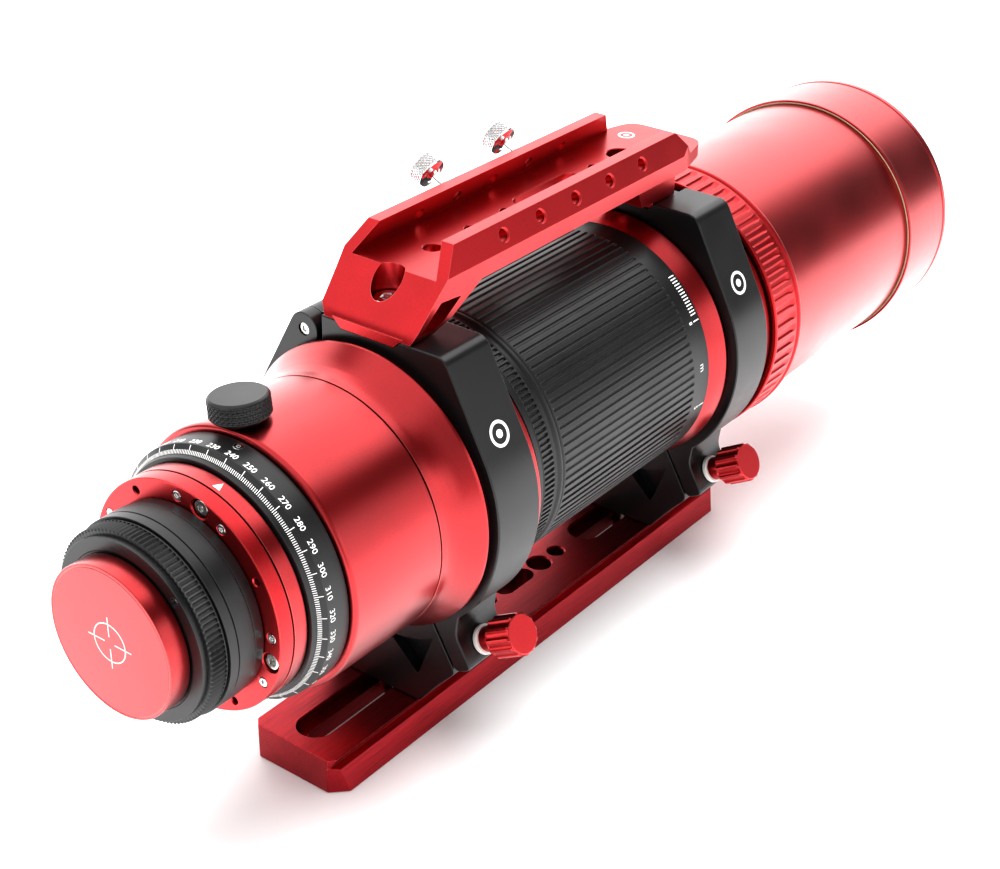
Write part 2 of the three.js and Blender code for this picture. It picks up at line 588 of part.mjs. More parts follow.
const TOWARDS_REAR = ALONG_TUBE.clone().negate();
TILT_GROUPS.forEach((degrees, index) => {
  const seat = tiltPoint(degrees).setY(at(PULL_SEAT - 0.35));
  const screw = capScrew(M3_RADIUS, PULL_LENGTH, M3_HEAD_RADIUS, 2.4, seat, TOWARDS_REAR);
  place(`pull_screw_${index + 1}`, screw, steel);
});
pushAngles.forEach((degrees, index) => {
  place(`push_screw_${index + 1}`, tiltRod(GRUB_RADIUS, TILT_REAR + 0.2, TILT_FRONT, degrees), steel);
});

// ---- Camera rotator, its lock knob and the angle scale ----

const LOCK_ANGLE = 95.9;
const LOCK_STATION = 65;
const LOCK_GROOVE = [62.2, 67.8];

place('rotator_ring', cutBy(turned([
  [27.8, TILT_FRONT + 0.5], [40.5, TILT_FRONT + 0.5], [40.5, 43.2], [38.5, 43.5], [38.5, LOCK_GROOVE[0]],
  [37.3, LOCK_GROOVE[0] + 1.2], [37.3, LOCK_GROOVE[1] - 1.2], [38.5, LOCK_GROOVE[1]], [38.5, 72],
  [35.5, 72], [35.5, 46], [27.8, 46],
]), ...TILT_GROUPS.map((degrees) =>
  tiltRod(M3_RADIUS + GAP, TILT_FRONT - OVERRUN, 42.2, degrees))), redAnodised);

const lockSeat = new THREE.Vector3(0, at(LOCK_STATION), 0);
place('lock_knob', turnedAlong([
  [0, 37.8], [1.2, 37.8], [2.9, 39.2], [2.9, 47.7], [10.2, 48.3], [10.2, 56], [0, 56],
], lockSeat, across(LOCK_ANGLE), 20), blackAnodised);

const SCALE_SCREW_ANGLE = 85;
const scaleScrewSeat = new THREE.Vector3(0, at(54.5), 0);
place('angle_scale_ring', cutBy(turned([
  [39.1, 43.8], [41.6, 43.8], [42.2, 45.4], [45, 47.8], [45, 57.2], [41.6, 57.2], [41.6, 44.5], [39.1, 44.5],
]), rod(GRUB_RADIUS + GAP, 40, 50, scaleScrewSeat, across(SCALE_SCREW_ANGLE), GRUB_ROUND)), blackAnodised);

place('scale_set_screw',
  rod(GRUB_RADIUS, 41.7, 44.9, scaleScrewSeat, across(SCALE_SCREW_ANGLE), GRUB_ROUND), steel);

// ---- Fixed tube: rear section, main barrel and front tube ----

place('rear_tube', cutBy(turned([
  [38.9, 44.8], [41.3, 44.8], [41.3, 57.6], [46.2, 57.6], [TUBE_RADIUS, 59.4],
  [TUBE_RADIUS, 99.6], [44.3, 99.6], [44.3, 92], [43, 92], [43, 74], [38.9, 74],
]), rod(3.4, 35, 60, lockSeat, across(LOCK_ANGLE))), redAnodised);

function mainBarrel() {
  const body = turned([
    [BARREL_BORE, 92.3], [44, 92.3], [44, 100.2], [47.2, 100.2], [49.2, 108], [53.4, 116.8],
    [SEAT_RADIUS, 118.5], [SEAT_RADIUS, 143.1], [53, 143.1], [53, 146], [BARREL_RADIUS, 146],
    [BARREL_RADIUS, 262], [BARREL_BORE, 262],
  ]);
  const clearance = CAM_PIN_RADIUS + GAP;
  const slots = CAM_PIN_ANGLES.map((degrees) => {
    const geometry = new THREE.BoxGeometry(2 * clearance, FOCUS_TRAVEL + 2 * clearance, 12);
    geometry.translate(0, at(PIN_STATION) + FOCUS_TRAVEL / 2, BARREL_RADIUS - 1);
    geometry.rotateY(THREE.MathUtils.degToRad(90 - degrees));
    return solid(geometry);
  });
  return cutBy(body, ...slots);
}

place('main_barrel', mainBarrel(), redAnodised);

place('front_tube', turned([
  [46, 258.8], [48.4, 258.8], [51.9, 267.3], [SEAT_RADIUS, 268.7], [SEAT_RADIUS, 293.2], [53.2, 293.2],
  [53.2, 297.6], [50.3, 297.6], [50.3, 372], [47.9, 372], [47.9, 263.2], [46, 263.2],
]), redAnodised);

// ---- Focuser: ring with cam grooves, drive gear, and the lens group that slides inside ----

// A groove in the bore of the focus ring, wound round it as the lens group advances.
function camGroove(startDegrees) {
  const margin = THREE.MathUtils.radToDeg((CAM_PIN_RADIUS + 2 * GAP) / BARREL_RADIUS);
  const span = FOCUS_TURN + 2 * margin;
  const steps = 12;
  const width = 2 * (CAM_PIN_RADIUS + GAP);
  const [inner, outer] = [44.5, 48.4];
  const geometry = new THREE.BoxGeometry(span, width, outer - inner, steps, 1, 1);
  const position = geometry.attributes.position;
  for (let i = 0; i < position.count; i += 1) {
    const turn = span / 2 - margin - position.getX(i);
    const radius = (inner + outer) / 2 + position.getZ(i);
    const point = across(startDegrees + turn).multiplyScalar(radius);
    const advance = at(PIN_STATION) + (FOCUS_TRAVEL * turn) / FOCUS_TURN;
    position.setXYZ(i, point.x, advance + position.getY(i), point.z);
  }
  return solid(geometry.toNonIndexed());
}

place('focus_ring', cutBy(turned([
  [46, 160], [48.9, 160], [FOCUS_RADIUS, 163], [FOCUS_RADIUS, 258.3], [46, 258.3],
]), ...CAM_PIN_ANGLES.map(camGroove)), blackAnodised);

place('focus_drive_gear', turned([[46, 150.6], [49.3, 150.6], [49.3, 159.7], [46, 159.7]]), blackAnodised);

const pinSeat = new THREE.Vector3(0, at(PIN_STATION), 0);
place('focus_cell', cutBy(turned([
  [34, 190], [42.2, 190], [42.2, 222], [36.4, 222], [36.4, 196], [34, 196],
]), ...CAM_PIN_ANGLES.map((degrees) =>
  rod(CAM_PIN_RADIUS + GAP, 30, 45, pinSeat, across(degrees)))), blackAnodised);

CAM_PIN_ANGLES.forEach((degrees, index) => {
  place(`cam_pin_${index + 1}`, rod(CAM_PIN_RADIUS, 37, 48.1, pinSeat, across(degrees)), steel);
});

// A lens by its rim radius, the stations of its two rims and how far each face bulges rearwards and forwards.
function lens(radius, rearRim, frontRim, rearBulge, frontBulge) {
  const steps = 3;
  const face = (rim, bulge) => Array.from({ length: steps + 1 }, (_, i) => {
    const share = i / steps;
    return [radius * share, rim + bulge * (1 - share * share)];
  });
  return turned([...face(rearRim, -rearBulge), ...face(frontRim, frontBulge).reverse()], LENS_ROUND);
}

place('focus_lens', lens(36, 198.5, 209, 0.8, 3), glass);
place('focus_lens_retainer',
  turned([[33, 213], [36.1, 213], [36.1, 216], [33, 216]], LENS_ROUND), blackAnodised);

// ---- Objective ----

place('lens_cell', turned([
  [43.5, 340], [47.6, 340], [47.6, 371], [45.9, 371], [45.9, 344], [43.5, 344],
]), blackAnodised);
place('objective_rear_lens', lens(45.4, 344.6, 350.6, -1.2, -2.4), glass);
place('objective_front_lens', lens(45.4, 351.2, 360.5, 2.0, 3.2), glass);
place('objective_retaining_ring', turned([[43, 361.2], [45.5, 361.2], [45.5, 366], [43, 366]], LENS_ROUND),
  blackAnodised);

// ---- Dew shield and front cap ----

place('dew_shield', turned([[51.4, 299], [DEW_RADIUS, 299], [DEW_RADIUS, 440], [51.4, 440]]), redAnodised);
place('dew_grip_ring', turned([
  [DEW_RADIUS + GAP, 298.4], [55.8, 298.4], [56.3, 315.6], [56.3, 317.8], [DEW_RADIUS + GAP, 317.8],
]), redAnodised);
place('dew_felt_ring', turned([[50.6, 301], [51.1, 301], [51.1, 313], [50.6, 313]]), felt);

place('front_cap', turned([
  [0, 445.6], [54.6, 445.6], [54.6, 413.8], [55.2, 413.8], [CAP_RADIUS, 444.5], [CAP_RADIUS, OVERALL_LENGTH],
  [0, OVERALL_LENGTH],
]), redAnodised);
place('front_cap_felt', turned([[54, 414], [54.4, 414], [54.4, 426], [54, 426]]), felt);

export default model;
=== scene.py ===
"""A refracting telescope in tube rings on a dovetail plate: finished surfaces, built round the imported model.

Lengths in this script are millimetres, and become metres when a mesh is made. Places along the tube are given
as the distance ahead of the rear cap's face, and angles round it in degrees from +X towards +Z.
"""

import json
import math

import bmesh
import bpy
from mathutils import Matrix, Vector


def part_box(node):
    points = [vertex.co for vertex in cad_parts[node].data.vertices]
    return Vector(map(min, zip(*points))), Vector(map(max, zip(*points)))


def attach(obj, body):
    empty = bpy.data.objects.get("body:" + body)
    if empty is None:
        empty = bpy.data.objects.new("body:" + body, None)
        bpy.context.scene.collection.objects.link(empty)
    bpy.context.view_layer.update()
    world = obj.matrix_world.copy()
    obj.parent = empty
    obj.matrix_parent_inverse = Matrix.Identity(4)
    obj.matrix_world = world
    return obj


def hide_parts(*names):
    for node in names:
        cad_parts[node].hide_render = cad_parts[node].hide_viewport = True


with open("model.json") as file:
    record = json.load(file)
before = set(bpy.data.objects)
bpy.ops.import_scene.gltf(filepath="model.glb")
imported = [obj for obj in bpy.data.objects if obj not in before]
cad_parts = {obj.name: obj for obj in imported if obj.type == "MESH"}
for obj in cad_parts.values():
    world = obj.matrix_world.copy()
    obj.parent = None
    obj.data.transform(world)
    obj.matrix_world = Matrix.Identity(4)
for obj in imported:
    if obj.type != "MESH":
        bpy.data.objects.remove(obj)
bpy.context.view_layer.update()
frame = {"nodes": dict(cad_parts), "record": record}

MM = 0.001
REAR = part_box("rear_cap")[0].y / MM
AXIS = sum(corner.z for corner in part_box("rear_tube")) / 2 / MM
PLATE_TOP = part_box("dovetail_plate")[1].z / MM
PLATE_ENDS = [corner.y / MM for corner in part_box("dovetail_plate")]
RINGS = {end: sum(corner.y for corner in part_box(f"{end}_ring_top")) / 2 / MM - REAR
         for end in ("rear", "front")}

ROUND = 192             # facets round the tube's own pieces
OVERRUN = 1.0           # how far a cutting tool runs past the face that it opens
FAR = 200.0             # outside every piece
SHARP_ANGLE = 32        # faces that meet at more than this stay sharp
NORMALS_BY_AREA = 90    # how strongly the larger faces set the shading of the edges between them

ALONG = Vector((0, 1, 0))
UP = Vector((0, 0, 1))


# ---- Meshes ----

def across(degrees):
    """The unit vector across the tube at an angle."""
    angle = math.radians(degrees)
    return Vector((math.cos(angle), 0, math.sin(angle)))


def on_tube(radius, distance, angle):
    """A point round the optical axis. The angle is in radians."""
    return Vector((radius * math.cos(angle), REAR + distance, AXIS + radius * math.sin(angle)))


def about(origin, direction):
    """A place() for pieces turned about a line that starts at origin and runs in direction."""
    along = direction.normalized()
    side = along.orthogonal().normalized()
    other = along.cross(side)
    return lambda radius, height, angle: (
        origin + along * height + (side * math.cos(angle) + other * math.sin(angle)) * radius)


def eased(points, radius=0.4, steps=3):
    """A closed outline with its corners rounded. A corner on the axis, with a first value of 0, stays sharp.

    A point may carry a radius of its own as a third value.
    """
    rounded = []
    corners = [Vector(point[:2]) for point in points]
    for i, corner in enumerate(corners):
        own = points[i][2] if len(points[i]) > 2 else radius
        before = corners[i - 1] - corner
        after = corners[(i + 1) % len(corners)] - corner
        if corner.x == 0 or own == 0:
            rounded.append(corner)
            continue
        start = corner + before.normalized() * min(own, before.length * 0.45)
        end = corner + after.normalized() * min(own, after.length * 0.45)
        for k in range(steps + 1):
            share = k / steps
            rounded.append(start.lerp(corner, share).lerp(corner.lerp(end, share), share))
    return rounded


def mirrored(right):
    """An outline from its right half, bottom to top."""
    return right + [(-point[0], *point[1:]) for point in reversed(right)]


def arc(radius, start, end, steps, centre=(0, 0)):
    """Points of a circle's arc, with no rounding of their own."""
    angles = [math.radians(start + (end - start) * k / steps) for k in range(steps + 1)]
    return [(centre[0] + radius * math.cos(a), centre[1] + radius * math.sin(a), 0) for a in angles]


def made(name, mesh):
    """The object of a finished bmesh: normals out, millimetres to metres."""
    bmesh.ops.recalc_face_normals(mesh, faces=mesh.faces)
    bmesh.ops.scale(mesh, vec=(MM, MM, MM), verts=mesh.verts)
    data = bpy.data.meshes.new(name)
    mesh.to_mesh(data)
    mesh.free()
    piece = bpy.data.objects.new(name, data)
    bpy.context.scene.collection.objects.link(piece)
    return piece


def spin(mesh, profile, place=on_tube, steps=ROUND, relief=None):
    """Turns a profile of (radius, height) points.

    relief(radius, height, angle) gives the radius at an angle.
    """
    rings = []
    for radius, height in profile:
        count = steps if radius > 0 else 1
        ring = []
        for i in range(count):
            angle = 2 * math.pi * i / steps
            r = relief(radius, height, angle) if relief else radius
            ring.append(mesh.verts.new(place(r, height, angle)))
        rings.append(ring)
    following = rings[1:] + (rings[:1] if profile[0][0] > 0 else [])
    for a, b in zip(rings, following):
        for i in range(steps):
            j = (i + 1) % steps
            corners = [a[i % len(a)], a[j % len(a)], b[j % len(b)], b[i % len(b)]]
            corners = list(dict.fromkeys(corners))
            if len(corners) > 2:
                mesh.faces.new(corners)


def turned(name, profile, place=on_tube, steps=ROUND, relief=None, ease=0.4):
    mesh = bmesh.new()
    spin(mesh, eased(profile, ease), place, steps, relief)
    return made(name, mesh)


def prism(mesh, outline, place, low, high):
    """Adds an outline of (a, b) points drawn out from one height to another.

    place(a, b, height) gives the point.
    """
    ends = [[mesh.verts.new(place(point[0], point[1], height)) for point in outline]
            for height in (low, high)]
    mesh.faces.new(ends[0])
    mesh.faces.new(ends[1][::-1])
    for i in range(len(outline)):
        j = (i + 1) % len(outline)
        mesh.faces.new([ends[0][i], ends[0][j], ends[1][j], ends[1][i]])


def ring_plane(a, b, height):
    """Outlines seen from behind: a is x, b is the height above the optical axis, drawn out along the tube."""
    return Vector((a, REAR + height, AXIS + b))


def side_plane(a, b, height):
    """Outlines seen from the side: a is the distance along the tube, drawn out along X."""
    return Vector((height, REAR + a, AXIS + b))


def floor_plan(a, b, height):
    """Outlines seen from above: a is x, b the distance along the tube, drawn out upwards from the axis."""
    return Vector((a, REAR + b, AXIS + height))


def drawn(name, outline, place, low, high):
    mesh = bmesh.new()
    prism(mesh, outline, place, low, high)
    return made(name, mesh)


def settle(piece):
    """Applies a piece's modifiers."""
    evaluated = piece.evaluated_get(bpy.context.evaluated_depsgraph_get())
    data = bpy.data.meshes.new_from_object(evaluated)
    piece.modifiers.clear()
    piece.data = data


def cut(piece, *tools, operation="DIFFERENCE"):
    """Cuts a piece by tools that don't overlap each other."""
    mesh = bmesh.new()
    for tool in tools:
        mesh.from_mesh(tool.data)
        bpy.data.objects.remove(tool)
    data = bpy.data.meshes.new("tools")
    mesh.to_mesh(data)
    mesh.free()
    together = bpy.data.objects.new("tools", data)
    bpy.context.scene.collection.objects.link(together)
    modifier = piece.modifiers.new("cut", "BOOLEAN")
    modifier.operation = operation
    modifier.solver = "EXACT"
    modifier.object = together
    settle(piece)
    bpy.data.objects.remove(together)


def round_edges(piece, width, segments=3, degrees=25):
    modifier = piece.modifiers.new("edges", "BEVEL")
    modifier.width = width * MM
    modifier.segments = segments
    modifier.limit_method = "ANGLE"
    modifier.angle_limit = math.radians(degrees)
    settle(piece)


def drill(origin, direction, steps):
    """A tool turned from (radius, height) steps, for stepped and countersunk holes."""
    mesh = bmesh.new()
    spin(mesh, steps, about(origin, direction), 40)
    return made("drill", mesh)


def slot_outline(radius, start, end):
    """An outline with round ends, as points that start with x and the distance."""
    return arc(radius, 0, 180, 16, (0, end - radius)) + arc(radius, 180, 360, 16, (0, start + radius))


def slot_tool(sections):
    """A slot cutter from (height, radius, start, end) sections, lowest first."""
    mesh = bmesh.new()
    rings = []
    for height, radius, start, end in sections:
        outline = slot_outline(radius, start, end)
        rings.append([mesh.verts.new(floor_plan(*point[:2], height)) for point in outline])
    mesh.faces.new(rings[0])
    mesh.faces.new(rings[-1][::-1])
    for a, b in zip(rings, rings[1:]):
        for i in range(len(a)):
            j = (i + 1) % len(a)
            mesh.faces.new([a[i], a[j], b[j], b[i]])
    return made("slot", mesh)


def dress(piece, body, material, *nodes):
    """Shades a piece, gives it a material, and sets it on its body, hiding the CAD parts that it stands in for.
    """
    piece.data.shade_smooth()
    piece.data.set_sharp_from_angle(angle=math.radians(SHARP_ANGLE))
    normals = piece.modifiers.new("normals", "WEIGHTED_NORMAL")
    normals.keep_sharp = True
    normals.weight = NORMALS_BY_AREA
    piece.data.materials.clear()
    piece.data.materials.append(MATERIALS[material])
    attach(piece, body)
    if nodes:
        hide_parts(*nodes)
    return piece


# ---- Materials ----


def add(tree, kind, inputs=(), **settings):
    """A shader node with its settings, and its inputs by name: a socket is linked and a value is set."""
    node = tree.nodes.new(kind)
    for key, value in settings.items():
        setattr(node, key, value)
    for key, value in dict(inputs).items():
        if isinstance(value, bpy.types.NodeSocket):
            tree.links.new(value, node.inputs[key])
        else:
            node.inputs[key].default_value = value
    return node


def start(name):
    """A new material with an empty node tree."""
    material = bpy.data.materials.new(name)
    material.use_nodes = True
    material.node_tree.nodes.clear()
    return material, material.node_tree


def coordinates(tree, stretch=(1, 1, 1)):
    """Object coordinates in metres, stretched if asked."""
    source = add(tree, "ShaderNodeTexCoord").outputs["Object"]
    return add(tree, "ShaderNodeMapping", {"Vector": source, "Scale": stretch}).outputs["Vector"]


def noise(tree, scale, detail=3.0, stretch=(1, 1, 1), roughness=0.5):
    values = {"Vector": coordinates(tree, stretch), "Scale": scale, "Detail": detail, "Roughness": roughness}
    return add(tree, "ShaderNodeTexNoise", values).outputs["Fac"]


def spread(tree, value, low, high, from_low=0.3, from_high=0.7):
    """Maps a noise value to a range."""
    values = {"Value": value, "From Min": from_low, "From Max": from_high, "To Min": low, "To Max": high}
    return add(tree, "ShaderNodeMapRange", values).outputs["Result"]


def mixed(tree, share, first, second):
    node = add(tree, "ShaderNodeMix", data_type="RGBA")
    for socket, value in ((node.inputs[0], share), (node.inputs[6], first), (node.inputs[7], second)):
        if isinstance(value, bpy.types.NodeSocket):
            tree.links.new(value, socket)
        else:
            socket.default_value = value
    return node.outputs[2]


def bumped(tree, height, distance, strength=1.0, normal=None):
    values = {"Height": height, "Distance": distance * MM, "Strength": strength}
    if normal:
        values["Normal"] = normal
    return add(tree, "ShaderNodeBump", values).outputs["Normal"]


def edges(tree, radius=0.3):
    """Near 1 along edges and 0 on flat ground."""
    softened = add(tree, "ShaderNodeBevel", {"Radius": radius * MM}, samples=3).outputs["Normal"]
    true = add(tree, "ShaderNodeNewGeometry").outputs["Normal"]
    same = add(tree, "ShaderNodeVectorMath", {0: softened, 1: true}, operation="DOT_PRODUCT").outputs["Value"]
    return spread(tree, same, 0.8, 0.0, 0.90, 0.98)


def surface(tree, **inputs):
    names = {key.replace("_", " "): value for key, value in inputs.items()}
    shader = add(tree, "ShaderNodeBsdfPrincipled", names)
    output = add(tree, "ShaderNodeOutputMaterial")
    tree.links.new(shader.outputs["BSDF"], output.inputs["Surface"])


def darker(colour, share):
    return [channel * share for channel in colour]


def anodised(name, colour, edge_highlight, roughness, metallic=1.0, grain=1500.0, coat=0.45):
    """Bead-blasted and anodised aluminium: an even fine grain, faint cloudiness, and edges painted a shade
    lighter as a painted highlight.
    """
    material, tree = start(name)
    fine = noise(tree, grain, 2.0)
    clouds = noise(tree, 45.0, 4.0)
    tone = mixed(tree, spread(tree, clouds, 0.0, 1.0), (*colour, 1), (*darker(colour, 0.86), 1))
    speckled = mixed(tree, spread(tree, fine, 0.0, 0.35, 0.35, 0.75), tone, (*darker(colour, 0.6), 1))
    # Edges are painted the lighter colour: a painted highlight along them.
    base = mixed(tree, edges(tree), speckled, (*edge_highlight, 1))
    rough = spread(tree, clouds, roughness - 0.03, roughness + 0.05)
    surface(tree, Base_Color=base, Metallic=metallic, Roughness=rough,
            Normal=bumped(tree, fine, 0.02, 0.5), Coat_Weight=coat, Coat_Roughness=roughness * 0.8,
            Coat_IOR=1.5)
    return material


def brushed_red():
    """The plate: long fine scratches along it under a dark red oxide."""
    material, tree = start("brushed_red")
    lines = noise(tree, 60.0, 5.0, (60, 1, 60), 0.7)
    wide = noise(tree, 12.0, 3.0, (14, 1, 14))
    dark, bright = (0.14, 0.003, 0.008, 1), (0.55, 0.018, 0.028, 1)
    base = mixed(tree, spread(tree, lines, 0.0, 1.0, 0.25, 0.75), bright, dark)
    base = mixed(tree, spread(tree, wide, 0.0, 0.3), base, dark)
    # The edges are painted a coral tone: a painted highlight along them.
    base = mixed(tree, edges(tree), base, (0.85, 0.12, 0.13, 1))
    surface(tree, Base_Color=base, Metallic=1.0, Roughness=spread(tree, lines, 0.26, 0.46),
            Normal=bumped(tree, lines, 0.03, 0.5), Coat_Weight=0.25, Coat_Roughness=0.3)
    return material


def metal(name, colour, roughness, grain):
    material, tree = start(name)
    fine = noise(tree, grain, 3.0)
    base = mixed(tree, spread(tree, fine, 0.0, 0.25), (*colour, 1), (*darker(colour, 0.7), 1))
    surface(tree, Base_Color=base, Metallic=1.0, Roughness=spread(tree, fine, roughness, roughness + 0.08),
            Normal=bumped(tree, fine, 0.01, 0.2))
    return material


def nylon():
    material, tree = start("nylon")
    fine = noise(tree, 900.0, 2.0)
    base = mixed(tree, spread(tree, fine, 0.0, 0.3), (0.86, 0.85, 0.82, 1), (0.74, 0.72, 0.67, 1))
    surface(tree, Base_Color=base, Roughness=0.42, Normal=bumped(tree, fine, 0.02, 0.3),
            Subsurface_Weight=0.1, Subsurface_Radius=(MM, MM, MM))
    return material


def felt():
    material, tree = start("felt")
    fibres = noise(tree, 1200.0, 5.0, roughness=0.8)
    base = mixed(tree, spread(tree, fibres, 0.0, 1.0), (0.80, 0.70, 0.48, 1), (0.55, 0.44, 0.27, 1))
    surface(tree, Base_Color=base, Roughness=0.95, Normal=bumped(tree, fibres, 0.15), Sheen_Weight=0.4)
    return material


def glass():
    material, tree = start("glass")
    dust = noise(tree, 700.0, 4.0)
    base = mixed(tree, spread(tree, dust, 0.0, 0.1), (0.82, 0.94, 0.90, 1), (0.7, 0.8, 0.86, 1))
    surface(tree, Base_Color=base, Roughness=spread(tree, dust, 0.0, 0.03), Transmission_Weight=0.95,
            IOR=1.5, Coat_Weight=0.6, Coat_Tint=(0.55, 0.9, 0.7, 1))
    return material


def paint():
    """White filled engraving, a little uneven."""
    material, tree = start("white_fill")
    fine = noise(tree, 2200.0, 2.0)
    base = mixed(tree, spread(tree, fine, 0.0, 0.4), (0.88, 0.88, 0.86, 1), (0.66, 0.66, 0.64, 1))
    surface(tree, Base_Color=base, Roughness=0.55, Normal=bumped(tree, fine, 0.02, 0.3))
    return material


# The third colour of each anodised finish is a painted highlight along its edges.
MATERIALS = {
    "red": anodised("red_anodised", (0.58, 0.014, 0.02), (0.95, 0.18, 0.17), 0.36),
    "red_turned": anodised("red_turned", (0.50, 0.014, 0.019), (0.90, 0.20, 0.18), 0.31, coat=0.8),
    "brushed": brushed_red(),
    "black": anodised("black_anodised", (0.008, 0.008, 0.0085), (0.05, 0.05, 0.052), 0.36, 0.0, 1900.0,
                      0.0),
    "ring_black": anodised("ring_black", (0.006, 0.006, 0.0065), (0.06, 0.06, 0.06), 0.30, 0.0, 1900.0, 0.0),
    "steel": metal("steel", (0.66, 0.65, 0.62), 0.18, 1500.0),
    "chrome": metal("chrome", (0.90, 0.90, 0.90), 0.08, 600.0),
    "nylon": nylon(),
    "felt": felt(),
    "glass": glass(),
    "paint": paint(),
}


# ---- Screws and painted marks ----

def hexagon(radius, angle):
    """Radius of a hexagon at an angle, from its corner radius."""
    within = angle % (math.pi / 3) - math.pi / 6
    return radius * math.cos(math.pi / 6) / math.cos(within)


def screw(name, origin, direction, shank, length, head, height, socket, depth, body, node,
          material="steel"):
    """A socket screw: head above origin, shank below, and a hexagon socket sunk into the head."""
    floor = height - depth
    profile = [(0, -length), (shank, -length), (shank, 0), (head, 0), (head, height),
               (socket, height, 0.12), (socket, floor, 0.05), (0, floor - 0.3 * socket)]

    def relief(radius, level, angle):
        return hexagon(radius, angle) if radius <= socket * 1.25 and level > floor - 0.01 else radius

    piece = turned(name, profile, about(origin, direction), 48, relief, min(0.3, height / 5))
    dress(piece, body, material, node)


LIFT = 0.05             # white marks stand this far proud, on roots this deep
ROOT = 0.12


def mark_solid(mesh, outline, skin):
    prism(mesh, outline, skin, -ROOT, LIFT)


def tube_skin(radius, degrees, distance, slope=0.0):
    """A place() for marks on the tube: a runs clockwise round it, b forwards, and the height outwards."""
    angle = math.radians(degrees)
    return lambda a, b, lift: on_tube(radius + b * slope + lift, distance + b, angle - a / radius)


def flat_skin(origin, right, up, out):
    return lambda a, b, lift: origin + right * a + up * b + out * lift


def bar(width, low, high):
    return [(-width / 2, low), (width / 2, low), (width / 2, high), (-width / 2, high)]


def lettering(mesh, text, size, skin):
    """Adds a line of text, centred, with its feet at b = 0."""
    curve = bpy.data.curves.new("text", "FONT")
    curve.body = text
    curve.size = size
    curve.align_x = "CENTER"
    curve.extrude = 1
    curve.resolution_u = 3
    written = bpy.data.objects.new("text", curve)
    bpy.context.scene.collection.objects.link(written)
    evaluated = written.evaluated_get(bpy.context.evaluated_depsgraph_get())
    data = bpy.data.meshes.new_from_object(evaluated)
    bpy.data.objects.remove(written)
    letters = bmesh.new()
    letters.from_mesh(data)
    bmesh.ops.remove_doubles(letters, verts=letters.verts, dist=1e-4)
    for vertex in letters.verts:
        vertex.co = skin(vertex.co.x, vertex.co.y, LIFT if vertex.co.z > 0 else -ROOT)
    letters.to_mesh(data)
    letters.free()
    mesh.from_mesh(data)


def annulus(mesh, inner, outer, skin, steps=48):
    """Adds a flat ring to a mesh of marks."""
    levels = [(outer, LIFT), (inner, LIFT), (inner, -ROOT), (outer, -ROOT)]

    def place(radius, height, angle):
        return skin(radius * math.cos(angle), radius * math.sin(angle), height)

    spin(mesh, levels, place, steps)


# ---- Rear end ----

def zone(low, high, depth):
    """A relief that works only between two heights. depth(angle, height) says how far it cuts in."""
    return lambda radius, height, angle: radius - (depth(angle, height) if low < height < high else 0)


def teeth(count, width, depth, duty=0.5):
    """Straight grooves round a piece: duty is the groove's share of the pitch, with walls of share width."""
    def cut_in(angle, _height):
        share = (angle * count / (2 * math.pi)) % 1
        off = abs(share - 0.5)
        return depth * max(0.0, min(1.0, (duty / 2 + width - off) / width))
    return cut_in


def rear_cap():
    cap = turned("rear_cap_visual", [
        (0, 0), (25.1, 0, 0.05), (25.3, 0.14, 0.05), (25.5, 0, 0.05), (26.3, 0), (26.3, 7.7), (22.9, 7.7),
        (22.9, 15), (21.4, 15), (21.4, 3), (0, 3),
    ], ease=0.45)
    dress(cap, "rear_cap", "red_turned", "rear_cap")
    mesh = bmesh.new()
    skin = flat_skin(Vector((0, REAR, AXIS)), Vector((1, 0, 0)), UP, -ALONG)
    annulus(mesh, 6.6, 7.0, skin)
    for quarter in range(4):
        turn = Matrix.Rotation(math.radians(90 * quarter), 2)
        mark_solid(mesh, [turn @ Vector(point) for point in bar(0.4, 2.2, 9.4)], skin)
    dress(made("rear_cap_mark", mesh), "rear_cap", "paint")


GRUB_CIRCLE = 28.9
GRUB_ANGLE = 42
KNURL_RIDGES = 116


def adapter():
    knurled = turned("adapter_knurled_visual", [
        (23.2, 8.3), (26.9, 8.3), (26.9, 8), (31.2, 8), (31.2, 10.0, 0.1), (32.9, 10.0, 0.1), (33.3, 10.3, 0),
        (33.3, 10.5, 0), (33.3, 15.7, 0), (33.3, 15.8, 0), (33.3, 16.4), (27.8, 16.4), (27.8, 21.6),
        (23.2, 21.6),
    ], steps=KNURL_RIDGES * 8, relief=zone(9.9, 15.75, teeth(KNURL_RIDGES, 0.42, 0.7, 0.12)), ease=0.25)
    seat = Vector((0, REAR + 8, AXIS)) + across(GRUB_ANGLE) * GRUB_CIRCLE
    cut(knurled, drill(seat, ALONG, [(0, -OVERRUN), (1.5, -OVERRUN), (1.5, 4), (0, 4)]))
    dress(knurled, "tilt", "black", "adapter_knurled_ring")
    screw("adapter_grub_screw_visual", seat + ALONG * 1.6, -ALONG, shank=1.4, length=2.4, head=1.4, height=0.4,
          socket=0.75, depth=0.35, body="tilt", node="adapter_grub_screw", material="chrome")
    body = turned("camera_adapter_visual", [
        (28.1, 16.7), (34.1, 16.7, 0.3), (34.1, 20.0, 0.1), (33.5, 20.3, 0.1), (34.1, 20.6, 0.1),
        (34.1, 26.9, 0.1), (33.3, 27.2, 0.1), (33.8, 27.5, 0.1), (33.8, 31.1, 0.3), (27.5, 31.1), (27.5, 36),
        (25, 36), (25, 22), (28.1, 22),
    ])
    dress(body, "tilt", "black", "camera_adapter")


TILT_REAR = 31.4
TILT_CIRCLE = 36.7
TILT_GROUPS = (75, 165, 255, 345)       # angles of the pull screws
TILT_SPREAD = 15                        # from each of them to the push screws beside it


def tilt_point(degrees, distance):
    return Vector((0, REAR + distance, AXIS)) + across(degrees) * TILT_CIRCLE


